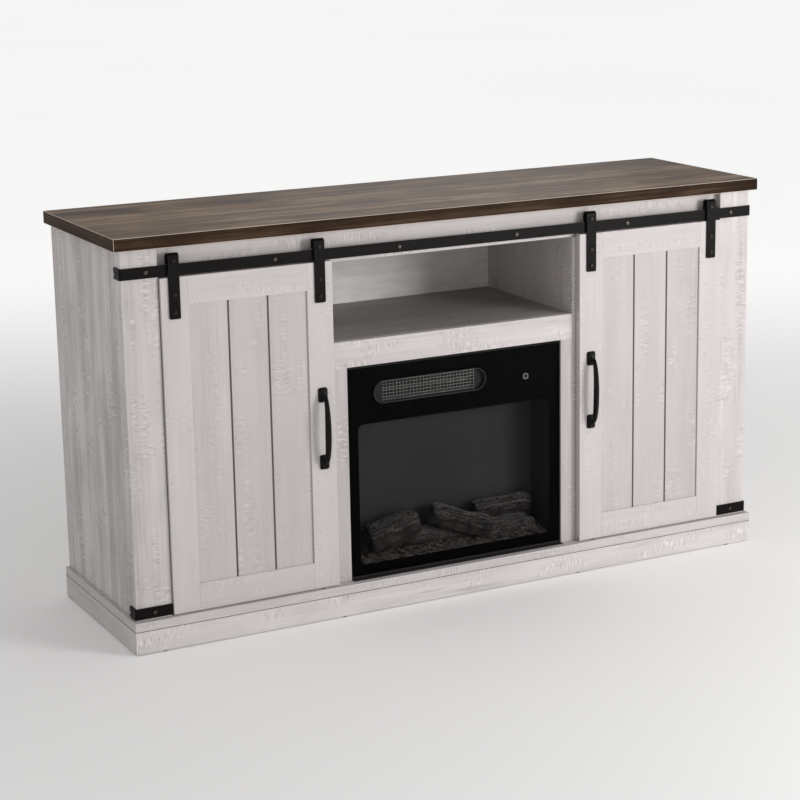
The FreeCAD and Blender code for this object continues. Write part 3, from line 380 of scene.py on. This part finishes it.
# ---------------------------------------------------------------- rail, spacers and corner straps
# Flat mild-steel bar, 3.5 mm, bent round the corners and powder coated satin black. Pan-head screws
# hold it through turned spacers. The corner straps at the foot are cut from the same bar.


def powder_coat(name, colour, roughness, peel_mm=1.6):
    """Satin powder coat: an orange-peel skin that softens the highlights, with a little dust in it."""
    material, tree, shader, place = new_material(name)
    peel = add(tree, "TexNoise", {"Vector": place, "Scale": 1000.0 / peel_mm, "Detail": 2.0})
    dust = add(tree, "TexNoise", {"Vector": place, "Scale": 22.0, "Detail": 6.0, "Roughness": 0.7})
    grey = add(tree, "MapRange", {0: dust, 1: 0.5, 2: 0.85, 4: 0.1})
    colour = add(tree, "MixRGB", {0: grey, 1: linear(colour), 2: linear("#33302E")})
    rough = add(tree, "MapRange", {0: dust, 1: 0.3, 2: 0.7, 3: roughness - 0.07, 4: roughness + 0.1})
    bump = add(tree, "Bump", {"Strength": 0.3, "Distance": 0.1 * mm, "Height": peel})
    set_surface(tree, shader, {"Base Color": colour, "Roughness": rough, "Normal": bump, "IOR": 1.5,
                               "Specular IOR Level": 0.06})
    return material


satin_black = powder_coat("black_powder_coated_steel", "#100E0D", 0.4)
dress(["door_rail", "corner_straps", "rail_spacers"], satin_black)
dress(["rail_screws"], plated_steel("blackened_rail_screws", "#4A4541", 0.24, 0.6))

# ---------------------------------------------------------------- doors
# Each door is a frame of stiles and rails round one grooved panel, all laminated board. The frame's grain
# follows each member. A nylon guide screwed to the base runs in the slot under the door.

# The panel is a shade greyer than its frame. The foil goes down into the V grooves, whose sloped faces are
# painted dark as painted shade.
plank_decor = dict(oak_decor, tones=("#A6A09F", "#B2ACAB", "#BAB4B3", "#C5C0BF"), arris=("#6A6461", 0.9))
for side, shift in (("left", 0.0), ("right", 3.7)):
    door = "door_" + side + "_"
    low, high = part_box(door + "planks")
    pitch = (high.x - low.x) / 3
    dress([door + "stiles"], laminate("whitewashed_oak_" + door + "stiles", "z",
                                      (0.47 + shift, 1.9, 0.35), oak_decor, 0.6))
    dress([door + "rails"], laminate("whitewashed_oak_" + door + "rails", "x",
                                     (2.13 + shift, 0.6, 1.7), oak_decor, 0.6))
    dress([door + "planks"], laminate("whitewashed_oak_" + door + "planks", "z", (1.31 + shift, 2.6, 0.9),
                                      plank_decor, 0.7, plank=(low.x, pitch)))
dress(["door_guides"], black_nylon)

# ---------------------------------------------------------------- hangers and rollers
# Strap hangers of the same bar, folded over the rail, with two bolts into the door and one through the
# grooved roller that runs on the rail's top edge. The rollers are turned nylon.

blackened = plated_steel("blackened_steel_bolts", "#292624", 0.3, 0.6)
for side in ("left", "right"):
    door = "door_" + side + "_"
    dress([door + "hangers"], satin_black)
    dress([door + "fasteners"], blackened)
    dress([door + "roller_outer", door + "roller_inner"], black_nylon)

# ---------------------------------------------------------------- pulls
# Cast-iron bow pulls, sand cast and painted black: square feet with a low pyramid face and a grip that
# swells to the middle and turns a quarter turn on the way. Two screws hold each from behind.


def cast_iron():
    """Painted sand casting: a pebbled skin with rubbed, greyer high spots."""
    material, tree, shader, place = new_material("black_cast_iron")
    sand = add(tree, "TexNoise", {"Vector": place, "Scale": 1000 / 2.0, "Detail": 4.0, "Roughness": 0.65})
    rub = add(tree, "TexNoise", {"Vector": place, "Scale": 1000 / 14.0, "Detail": 3.0})
    colour = add(tree, "ValToRGB", {0: rub}, stops=[(0.4, "#0A0807"), (0.62, "#110E0D"), (0.75, "#1E1917")])
    rough = add(tree, "MapRange", {0: rub, 3: 0.42, 4: 0.24})
    bump = add(tree, "Bump", {"Strength": 0.5, "Distance": 0.25 * mm, "Height": sand})
    set_surface(tree, shader, {"Base Color": colour, "Roughness": rough, "Normal": bump, "IOR": 1.5,
                               "Specular IOR Level": 0.12})
    return material


def rounded_rectangle(x0, x1, z0, z1, radius, per_corner):
    """Points round a rectangle with arcs at its corners, as (x, z)."""
    points = []
    for cx, cz, start in ((x1 - radius, z1 - radius, 0), (x0 + radius, z1 - radius, 1),
                          (x0 + radius, z0 + radius, 2), (x1 - radius, z0 + radius, 3)):
        for n in range(per_corner + 1):
            a = math.pi / 2 * (start + n / per_corner)
            points.append((cx + radius * math.cos(a), cz + radius * math.sin(a)))
    return points


def pull(side, material):
    """One bow pull, from its box: two pyramid-faced feet and the grip between them."""
    name = "door_" + side + "_pull"
    low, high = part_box(name)
    centre = (low.x + high.x) / 2
    wall = high.y
    foot_width, foot_height, foot_corner = high.x - low.x, 30 * mm, 4.5 * mm
    bm = bmesh.new()
    feet = (high.z - foot_height / 2, low.z + foot_height / 2)
    # How far each ring of a foot stands forward, and its share of the foot's outline.
    foot_rings = ((0.0, 1.0), (2.6 * mm, 1.0), (3.4 * mm, 0.95), (4.0 * mm, 0.88), (8.6 * mm, 0.3),
                  (9.4 * mm, 0.12))
    for z in feet:
        rings = []
        for forward, share in foot_rings:
            w, h = foot_width / 2 * share, foot_height / 2 * share
            outline = rounded_rectangle(centre - w, centre + w, z - h, z + h, foot_corner * share, 4)
            rings.append([Vector((x, wall - forward, up)) for x, up in outline])
        bridge(bm, rings)
    # The grip's centre line starts inside the feet. Powers under one fill its bow out, over one draw it in.
    root = wall - 6 * mm
    reach = root - low.y
    bow_power, swell_power = 0.62, 1.3
    steps, corners = 56, 16
    root_thick, swell = 3.0 * mm, 2.8 * mm
    # The squarish section's corners stand out a fifth further than its flats.
    corner_reach = 1.19 * (root_thick + swell)
    bow = reach - corner_reach
    middle, half_span = (feet[0] + feet[1]) / 2, (feet[0] - feet[1]) / 2
    ahead = 0.004
    rings = []
    for n in range(steps + 1):
        t = n / steps
        turn = math.pi * t
        z = middle + half_span * math.cos(turn)
        thick = root_thick + swell * math.sin(turn) ** swell_power
        y = root - bow * math.sin(turn) ** bow_power
        after = math.sin(min(max(turn + ahead, 0), math.pi)) ** bow_power
        slope = after - math.sin(max(turn - ahead, 0)) ** bow_power
        rise = math.cos(turn + ahead) - math.cos(turn - ahead)
        along = Vector((0, -bow * slope, half_span * rise)).normalized()
        across = Vector((1, 0, 0))
        out = along.cross(across)
        ring = []
        for k in range(corners):
            angle = 2 * math.pi * k / corners
            # A squarish section, twisted a quarter turn from foot to foot.
            square = (abs(math.cos(angle)) ** 4 + abs(math.sin(angle)) ** 4) ** -0.25
            twisted = angle + math.pi / 2 * (t - 0.5) + math.pi / 4
            away = across * math.cos(twisted) + out * math.sin(twisted)
            ring.append(Vector((centre, y, z)) + away * thick * square)
        rings.append(ring)
    bridge(bm, rings)
    piece = mesh_piece(name + "_cast", bm, material, "door_" + side, [name], smooth=35.0)
    bevel = piece.modifiers.new("cast_edges", "BEVEL")
    bevel.width = 0.5 * mm
    bevel.segments = 2
    bevel.limit_method = "ANGLE"
    bevel.angle_limit = math.radians(24)


iron = cast_iron()
for side in ("left", "right"):
    pull(side, iron)

# ---------------------------------------------------------------- insert front
# Tempered glass, 4 mm, in a folded steel edge trim. Black ceramic enamel is printed on its back, all but
# the window, and a small white ring on its face marks the touch key. The slot is ground through it.


def smoked_glass():
    """Grey tempered glass with a low-reflection face: it darkens what is behind it and mirrors little."""
    material, tree, shader, place = new_material("tempered_glass")
    smear = add(tree, "TexNoise", {"Vector": place, "Scale": 9.0, "Detail": 5.0, "Roughness": 0.6})
    rough = add(tree, "MapRange", {0: smear, 1: 0.35, 2: 0.7, 3: 0.03, 4: 0.12})
    set_surface(tree, shader, {"Base Color": linear("#030303"), "Roughness": rough, "Alpha": 0.4,
                               "IOR": 1.5, "Specular IOR Level": 0.035})
    return material


def plate_with_holes(name, outer, holes, y0, y1, material, body, replaced=()):
    """A flat plate facing the front, filled between an outline and its holes, y0 to y1 thick."""
    curve = bpy.data.curves.new(name, "CURVE")
    curve.dimensions = "2D"
    curve.fill_mode = "BOTH"
    curve.extrude = abs(y1 - y0) / 2
    for points in [outer] + holes:
        spline = curve.splines.new("POLY")
        spline.points.add(len(points) - 1)
        for point, (x, z) in zip(spline.points, points):
            point.co = (x, z, 0, 1)
        spline.use_cyclic_u = True
    shape = bpy.data.objects.new(name, curve)
    bpy.context.scene.collection.objects.link(shape)
    mesh = bpy.data.meshes.new_from_object(shape)
    bpy.data.objects.remove(shape)
    bm = bmesh.new()
    bm.from_mesh(mesh)
    bpy.data.meshes.remove(mesh)
    turn = Matrix.Translation((0, (y0 + y1) / 2, 0)) @ Matrix.Rotation(math.pi / 2, 4, "X")
    bmesh.ops.transform(bm, matrix=turn, verts=bm.verts)
    mesh_piece(name, bm, material, body, replaced, smooth=30.0)


def enamel():
    """Black ceramic enamel fired on glass: dense and even, with a hair of pinholing."""
    material, tree, shader, place = new_material("black_ceramic_enamel")
    grain = add(tree, "TexNoise", {"Vector": place, "Scale": 900.0, "Detail": 2.0})
    colour = add(tree, "ValToRGB", {0: grain}, stops=[(0.3, "#040404"), (0.8, "#070606")])
    set_surface(tree, shader, {"Base Color": colour, "Roughness": 0.4, "Specular IOR Level": 0.02})
    return material


def stadium(centre, length, height, per_corner):
    """Points round a slot shape with half-round ends, as (x, z)."""
    return rounded_rectangle(centre[0] - length / 2, centre[0] + length / 2,
                             centre[1] - height / 2, centre[1] + height / 2, height / 2, per_corner)


glass_low, glass_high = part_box("insert_glass")
dress(["insert_glass"], smoked_glass())
# The enamel's borders round the window, and the window's rounded corners.
side_border, bottom_border, top_border, window_corner = 23.5 * mm, 21.5 * mm, 118.4 * mm, 12 * mm
# The grille behind the slot laps it all round.
grille_low, grille_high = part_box("outlet_grille")
grille_lap = 4 * mm
slot_middle = ((grille_low.x + grille_high.x) / 2, (grille_low.z + grille_high.z) / 2)
slot_size = (grille_high.x - grille_low.x - 2 * grille_lap, grille_high.z - grille_low.z - 2 * grille_lap)
print_outline = [(glass_low.x, glass_low.z), (glass_high.x, glass_low.z),
                 (glass_high.x, glass_high.z), (glass_low.x, glass_high.z)]
window_outline = rounded_rectangle(glass_low.x + side_border, glass_high.x - side_border,
                                   glass_low.z + bottom_border, glass_high.z - top_border, window_corner, 8)
# The print lies just under the back face, where nothing behind the glass can stand before it.
print_front, print_back = glass_high.y - 0.06 * mm, glass_high.y - 0.01 * mm
plate_with_holes("insert_glass_print", print_outline, [window_outline, stadium(slot_middle, *slot_size, 16)],
                 print_front, print_back, enamel(), "cabinet")


def white_ink():
    """White screen-printed ink, a little uneven where the mesh of the screen left it thin."""
    material, tree, shader, place = new_material("white_screen_ink")
    weave = add(tree, "TexNoise", {"Vector": place, "Scale": 1400.0, "Detail": 1.0})
    colour = add(tree, "ValToRGB", {0: weave}, stops=[(0.3, "#D5D5D5"), (0.7, "#F4F4F4")])
    set_surface(tree, shader, {"Base Color": colour, "Roughness": 0.55})
    return material


def ring_mark():
    """The touch key's mark: a thin ring, printed on the face of the glass."""
    x, z = glass_high.x - 82.2 * mm, slot_middle[1] - 7.8 * mm
    outer, inner = 5.9 * mm, 5.2 * mm
    face, ink = glass_low.y, glass_low.y - 0.06 * mm
    bm = bmesh.new()
    turns = [math.pi * n / 32 for n in range(64)]
    rings = []
    for radius, y in ((outer, face), (outer, ink), (inner, ink), (inner, face)):
        rings.append([Vector((x + radius * math.cos(a), y, z + radius * math.sin(a))) for a in turns])
    bridge(bm, rings, closed=True)
    mesh_piece("touch_key_mark", bm, white_ink(), "cabinet")


ring_mark()
dress(["insert_trim"], powder_coat("matt_black_trim_steel", "#292727", 0.5))

# ---------------------------------------------------------------- firebox
# A folded sheet-steel liner, painted matt black, round a moulded resin ember bed and log set. Behind them
# stand a smoked acrylic screen, and a light board and a turning reflector that throw the flames on it.


def matt_black(name, colour, roughness):
    """Stoving enamel on sheet steel, dead matt, with the faint grain of the primed sheet."""
    material, tree, shader, place = new_material(name)
    grain = add(tree, "TexNoise", {"Vector": place, "Scale": 1000 / 1.8, "Detail": 3.0})
    cloud = add(tree, "TexNoise", {"Vector": place, "Scale": 14.0, "Detail": 3.0})
    shade = add(tree, "MapRange", {0: cloud, 3: 0.8, 4: 1.15})
    tint = add(tree, "VectorMath", {0: linear(colour)[:3], "Scale": shade}, operation="SCALE")
    rough = add(tree, "MapRange", {0: grain, 3: roughness - 0.06, 4: roughness + 0.08})
    bump = add(tree, "Bump", {"Strength": 0.3, "Distance": 0.1 * mm, "Height": grain})
    set_surface(tree, shader, {"Base Color": tint, "Roughness": rough, "Normal": bump})
    return material


dress(["firebox_liner"], matt_black("matt_black_liner_steel", "#514E4E", 0.75))


def smoked_acrylic():
    """Satin smoked acrylic sheet: an even grey that takes light softly and shows no edge glow."""
    material, tree, shader, place = new_material("smoked_acrylic")
    haze = add(tree, "TexNoise", {"Vector": place, "Scale": 5.0, "Detail": 3.0})
    colour = add(tree, "ValToRGB", {0: haze}, stops=[(0.3, "#6F6F70"), (0.7, "#7D7D7E")])
    set_surface(tree, shader, {"Base Color": colour, "Roughness": 0.5, "IOR": 1.49,
                               "Specular IOR Level": 0.3})
    return material


dress(["flame_screen"], smoked_acrylic())
bed_low, bed_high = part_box("ember_bed")


def charred(name, dark, mid, ash):
    """Cast resin painted as burnt wood: charcoal in the hollows and dry-brushed ash, laid on more where faces
    point up, so that the ash is partly a painted highlight on the tops.
    """
    material, tree, shader, place = new_material(name)
    broad = add(tree, "TexNoise", {"Vector": place, "Scale": 1000 / 30.0, "Detail": 6.0, "Roughness": 0.65})
    fine = add(tree, "TexNoise", {"Vector": place, "Scale": 1000 / 3.0, "Detail": 4.0, "Roughness": 0.7})
    up = add(tree, "NewGeometry", output="Normal")
    up = add(tree, "SeparateXYZ", {0: up}, output="Z")
    base = add(tree, "ValToRGB", {0: broad}, stops=[(0.35, dark), (0.65, mid)])
    # Ash gathers where the surface faces up: real ash paint, and partly a painted highlight on the tops.
    ash_and_top_highlight = add(tree, "Math", {0: up, 1: 0.25, 2: fine}, operation="MULTIPLY_ADD")
    ash_and_top_highlight = add(tree, "ValToRGB", {0: ash_and_top_highlight}, stops=[(0.62, 0.0), (0.85, 0.8)])
    colour = add(tree, "MixRGB", {0: ash_and_top_highlight, 1: base, 2: linear(ash)})
    rough = add(tree, "MapRange", {0: fine, 3: 0.55, 4: 0.9})
    bump = add(tree, "Bump", {"Strength": 0.6, "Distance": 0.7 * mm, "Height": fine})
    set_surface(tree, shader, {"Base Color": colour, "Roughness": rough, "Normal": bump})
    return material


def split_log(bm, start, end, radius, seed):
    """One split log between two points: a few flat cleft faces, bark ridges along it and chipped ends."""
    rounds, steps = 72, 54
    axis = end - start
    across = axis.cross(Vector((0, 0, 1))).normalized()
    over = across.cross(axis).normalized()
    draw = random.Random(seed)
    clefts = sorted(draw.uniform(0, 2 * math.pi) for _ in range(5))
    depths = [draw.uniform(0.74, 0.92) for _ in clefts]
    rings = []
    for s in range(steps + 1):
        t = s / steps
        ring = []
        for n in range(rounds):
            a = 2 * math.pi * n / rounds
            out = across * math.cos(a) + over * math.sin(a)
            reach = 1.0
            for cleft, depth in zip(clefts, depths):
                turn = math.cos(a - cleft)
                if turn > 0.2:
                    reach = min(reach, depth / turn)
            spot = Vector((math.cos(a) * 2.2, math.sin(a) * 2.2, t * 2.6 + seed))
            ridge = Vector((math.cos(a) * 9, math.sin(a) * 9, t * 3.4 + seed))
            # Broad swellings, ridges along the grain, and short cracks in the bark.
            reach += 0.16 * noise.noise(spot) + 0.13 * noise.noise(ridge)
            reach += 0.08 * noise.noise(Vector((spot.x * 6, spot.y * 6, t * 30 + seed)))
            taper = 1.0 - 0.2 * (2 * t - 1) ** 10
            slant = 0.16 * radius * noise.noise(Vector((math.cos(a) * 1.5, math.sin(a) * 1.5, 7.0 + seed)))
            ring.append(start + axis * t + out * radius * reach * taper + axis.normalized() * slant)
        rings.append(ring)
    # The sawn ends dish in a little, so that each has a rim.
    for end_ring, inward in ((rings[0], axis.normalized()), (rings[-1], -axis.normalized())):
        middle = sum(end_ring, Vector()) / rounds
        dished = [[middle + (p - middle) * share + inward * radius * depth for p in end_ring]
                  for share, depth in ((0.9, 0.0), (0.6, 0.04), (0.25, 0.03))]
        rings = list(reversed(dished)) + rings if end_ring is rings[0] else rings + dished
    bridge(bm, rings)


def log_set(material):
    """Five logs cast as one piece, laid across each other on the embers. Each end is a share of the
    moulding's length, millimetres behind its middle line and millimetres over the embers."""
    logs_laid = (
        ((0.0, -2, 36), (0.283, 0, 58), 34, 3), ((0.379, 4, 66), (0.717, -12, 18), 24, 11),
        ((0.656, 13, 54), (1.0, 13, 54), 20, 23), ((0.69, -14, 8), (0.99, -12, 8), 17, 31),
        ((0.04, 12, 16), (0.97, 12, 18), 19, 43),
    )
    left_margin, right_margin = 35 * mm, 20 * mm
    left = bed_low.x + left_margin
    span = bed_high.x - right_margin - left
    middle = (bed_low.y + bed_high.y) / 2
    ember_top = bed_low.z + 26 * mm
    bm = bmesh.new()
    for start, end, radius, seed in logs_laid:
        ends = [Vector((left + share * span, middle + behind * mm, ember_top + rise * mm))
                for share, behind, rise in (start, end)]
        split_log(bm, *ends, radius * mm, seed)
    mesh_piece("log_set_cast", bm, material, "cabinet", ["log_set"], smooth=50.0)


def ember_bed(material):
    """A sloping bed of broken char, cast as one piece and packed with lumps of many sizes."""
    draw = random.Random(5)
    bm = bmesh.new()
    columns, rows, lumps = 120, 20, 330
    side_margin, end_margin = 8 * mm, 7 * mm
    front_top, back_top = bed_low.z + 16 * mm, bed_high.z - 6 * mm

    def top_at(t):
        """The bed's height, from its front edge at 0 to its back edge at 1."""
        return front_top + (back_top - front_top) * t ** 0.8

    rings = []
    for r in range(rows + 1):
        t = r / rows
        y = bed_low.y + (bed_high.y - bed_low.y) * t
        line = []
        for c in range(columns + 1):
            x = bed_low.x + (bed_high.x - bed_low.x) * c / columns
            z = top_at(t) + 4 * mm * noise.noise(Vector((x * 60, y * 60, 1.0)))
            line.append(Vector((x, y, z)))
        underside = [Vector((p.x, p.y, bed_low.z)) for p in (line[-1], line[0])]
        rings.append(line + underside)
    bridge(bm, rings)
    for n in range(lumps):
        x = draw.uniform(bed_low.x + side_margin, bed_high.x - side_margin)
        t = draw.random()
        y = bed_low.y + end_margin + (bed_high.y - bed_low.y - 2 * end_margin) * t
        size = draw.uniform(3.5, 8.5) * mm
        z = top_at(t) + size * draw.uniform(-0.1, 0.35)
        stretch = Vector((draw.uniform(0.8, 1.5), draw.uniform(0.7, 1.1), draw.uniform(0.5, 0.8)))
        lump = bmesh.ops.create_icosphere(bm, subdivisions=2, radius=size)["verts"]
        tilt = Matrix.Rotation(draw.uniform(0, math.pi), 3, "Z")
        tilt = tilt @ Matrix.Rotation(draw.uniform(-0.5, 0.5), 3, "X")
        for vert in lump:
            chip = 1.0 + 0.35 * noise.noise(vert.co * 220 + Vector((n, 0, 0)))
            vert.co = tilt @ Vector(a * b for a, b in zip(vert.co * chip, stretch)) + Vector((x, y, z))
    mesh_piece("ember_bed_cast", bm, material, "cabinet", ["ember_bed"],
               smooth=40.0)


log_set(charred("cast_resin_logs", "#2E2A28", "#736B66", "#F7F3EF"))
ember_bed(charred("cast_resin_embers", "#352C29", "#76665D", "#E6DFD9"))


def circuit_board():
    """Fibreglass board under green solder mask, with the weave just showing through."""
    material, tree, shader, place = new_material("circuit_board")
    weave = add(tree, "TexWave", {"Vector": place, "Scale": 160.0, "Distortion": 0.5}, output="Fac")
    blotch = add(tree, "TexNoise", {"Vector": place, "Scale": 90.0, "Detail": 3.0})
    both = add(tree, "Math", {0: weave, 1: 0.3, 2: blotch}, operation="MULTIPLY_ADD")
    colour = add(tree, "ValToRGB", {0: both}, stops=[(0.4, "#123A24"), (0.8, "#1F5A38")])
    set_surface(tree, shader, {"Base Color": colour, "Roughness": 0.3, "IOR": 1.52})
    return material


green_board = circuit_board()
dress(["led_board", "control_board"], green_board)
bright = plated_steel("bright_aluminium", "#C9CACC", 0.25, 0.5)
dress(["flame_spindle"], bright)
dress(["spindle_motor", "blower_motor"], plated_steel("zinc_plated_motor_shell", "#A9ADB0", 0.38, 1.2))

# ---------------------------------------------------------------- heater
# Behind the slot sit a grille of welded steel mesh, a finned ceramic heater and a cross-flow wheel in a
# folded housing. The grille stops fingers, and the wheel blows room air forward through the fins.


def wire(bm, start, end, radius):
    """A straight round wire."""
    along = (end - start).normalized()
    across = along.orthogonal().normalized()
    over = along.cross(across)
    turns = [math.pi * n / 4 for n in range(8)]
    bridge(bm, [[point + (across * math.cos(a) + over * math.sin(a)) * radius for a in turns]
                for point in (start, end)])


def outlet_grille(frame_finish, wire_finish):
    """A welded mesh of 1.6 mm wire, let into a plate with half-round ends."""
    half_mesh = (slot_size[0] - slot_size[1]) / 2
    half_height = slot_size[1] / 2 - 1.5 * mm
    pitch, row_pitch, radius = 7.8 * mm, 6.4 * mm, 0.8 * mm
    x, z = slot_middle
    outline = stadium(slot_middle, grille_high.x - grille_low.x, grille_high.z - grille_low.z, 20)
    opening = rounded_rectangle(x - half_mesh, x + half_mesh, z - half_height, z + half_height, 2 * mm, 4)
    plate_with_holes("outlet_grille_frame", outline, [opening], grille_low.y, grille_high.y, frame_finish,
                     "cabinet", ["outlet_grille"])
    # The wires run on past the opening's edge, the upright ones in front of the level ones.
    half_length, half_rise = half_mesh + radius, half_height + radius
    upright_y, level_y = grille_low.y - radius, grille_low.y + 0.8 * radius
    columns, rows = int(2 * half_mesh / pitch), int(2 * half_height / row_pitch)
    bm = bmesh.new()
    for n in range(columns + 1):
        wire_x = x + (n - columns / 2) * pitch
        wire(bm, *[Vector((wire_x, upright_y, z + end * half_rise)) for end in (-1, 1)], radius)
    for n in range(rows + 1):
        wire_z = z + (n - rows / 2) * row_pitch
        wire(bm, *[Vector((x + end * half_length, level_y, wire_z)) for end in (-1, 1)], radius)
    mesh_piece("outlet_grille_mesh", bm, wire_finish, "cabinet")


outlet_grille(powder_coat("grey_grille_steel", "#242222", 0.5, 0.9),
              plated_steel("bare_steel_wire", "#706E6B", 0.27, 0.4))
# The edge of the slot is ground and shows as a thin grey line round it.
edge_width, edge_inset = 0.8 * mm, 0.2 * mm
plate_with_holes(
    "glass_slot_edge", stadium(slot_middle, *slot_size, 20),
    [stadium(slot_middle, slot_size[0] - 2 * edge_width, slot_size[1] - 2 * edge_width, 20)],
    glass_low.y + edge_inset, glass_high.y, matt_black("ground_glass_edge", "#2A2929", 0.5), "cabinet")
dress(["heater_element"], matt_black("heater_fins", "#0B0A0A", 0.6))
dress(["blower_wheel"], matt_black("black_blower_wheel", "#19191A", 0.5))
dress(["blower_housing"], zinc)
dress(["thermal_cutout"], moulded_plastic("phenolic_cutout", "#2B211C", 0.4, 0.7))

# ---------------------------------------------------------------- insert case
# The case is folded from black steel sheet, and its rear cover has rows of air slots, a nylon gland for
# the mains lead and, at each side, a bracket that screws it to the cabinet.

case_steel = powder_coat("matt_black_sheet_steel", "#1D1D1E", 0.58, 1.2)
dress(["insert_casing", "insert_rear_cover", "insert_brackets"], case_steel)
dress(["cord_gland"], black_nylon)

# ---------------------------------------------------------------- floor, light and camera
# A pale studio floor and surround, a large soft light low at the front right, a weaker one at the front
# left and another behind. The view is from the front left and a little above.

floor_material, tree, shader, place = new_material("studio_floor")
tint = add(tree, "TexNoise", {"Vector": place, "Scale": 0.4, "Detail": 2.0})
colour = add(tree, "ValToRGB", {0: tint}, stops=[(0.3, "#F5F4F3"), (0.7, "#F8F7F6")])
# The floor glows a little more with distance, so that it meets the surround without a dark band.
distance = add(tree, "VectorMath", {0: place}, output="Value", operation="LENGTH")
glow = add(tree, "MapRange", {0: distance, 1: 0.9, 2: 4.5, 3: 0.04, 4: 0.42}, interpolation_type="SMOOTHSTEP")
set_surface(tree, shader, {"Base Color": colour, "Roughness": 0.9, "Specular IOR Level": 0.1,
                           "Emission Color": add(tree, "CombineColor", {0: glow, 1: glow, 2: glow}),
                           "Emission Strength": 1.0})
floor_mesh = bpy.data.meshes.new("studio_floor")
half = 60.0
floor_mesh.from_pydata([(-half, -half, 0), (half, -half, 0), (half, half, 0), (-half, half, 0)], [],
                       [(0, 1, 2, 3)])
floor_mesh.materials.append(floor_material)
floor = bpy.data.objects.new("studio_floor", floor_mesh)
bpy.context.scene.collection.objects.link(floor)
floor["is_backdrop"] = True

world = bpy.data.worlds.new("studio_surround")
bpy.context.scene.world = world
world.use_nodes = True
surround = world.node_tree.nodes["Background"]
surround.inputs["Color"].default_value = linear("#FFFFFF")
surround.inputs["Strength"].default_value = 0.54


def soft_light(name, place, aim, size, power):
    """A large square area light turned to face a point."""
    data = bpy.data.lights.new(name, "AREA")
    data.size = size
    data.energy = power
    lamp = bpy.data.objects.new(name, data)
    lamp.location = place
    lamp.rotation_mode = "QUATERNION"
    lamp.rotation_quaternion = (Vector(aim) - Vector(place)).to_track_quat("-Z", "Y")
    bpy.context.scene.collection.objects.link(lamp)


soft_light("key_light", (2.0, -2.9, 1.15), (0.2, 0.0, 0.5), 1.2, 74.0)
soft_light("fill_light", (-1.4, -4.6, 1.0), (0.0, 0.0, 0.45), 2.0, 8.0)
# A weak light behind, low over the top, leaves a soft sheen along the middle of the slab.
soft_light("back_light", (1.9, 3.4, 1.75), (0.0, 0.0, 0.8), 1.4, 7.0)

camera_place = (-2.0604, -3.9695, 1.4812)
azimuth, elevation, roll = (math.radians(a) for a in (28.29, 13.19, -0.75))
camera_data = bpy.data.cameras.new("camera")
camera_data.lens = 96.8
camera_data.sensor_width = 36.0
camera_data.shift_x = -0.0625
camera_data.shift_y = -0.03125
camera_data.clip_end = 200.0
camera = bpy.data.objects.new("camera", camera_data)
camera.matrix_world = (Matrix.Translation(camera_place) @ Matrix.Rotation(-azimuth, 4, "Z")
                       @ Matrix.Rotation(math.pi / 2 - elevation, 4, "X") @ Matrix.Rotation(roll, 4, "Z"))
bpy.context.scene.collection.objects.link(camera)
bpy.context.scene.camera = camera
bpy.context.scene.view_settings.view_transform = "Standard"

# ---------------------------------------------------------------- sizes
# The finished console's bounds, in metres.
low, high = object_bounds()
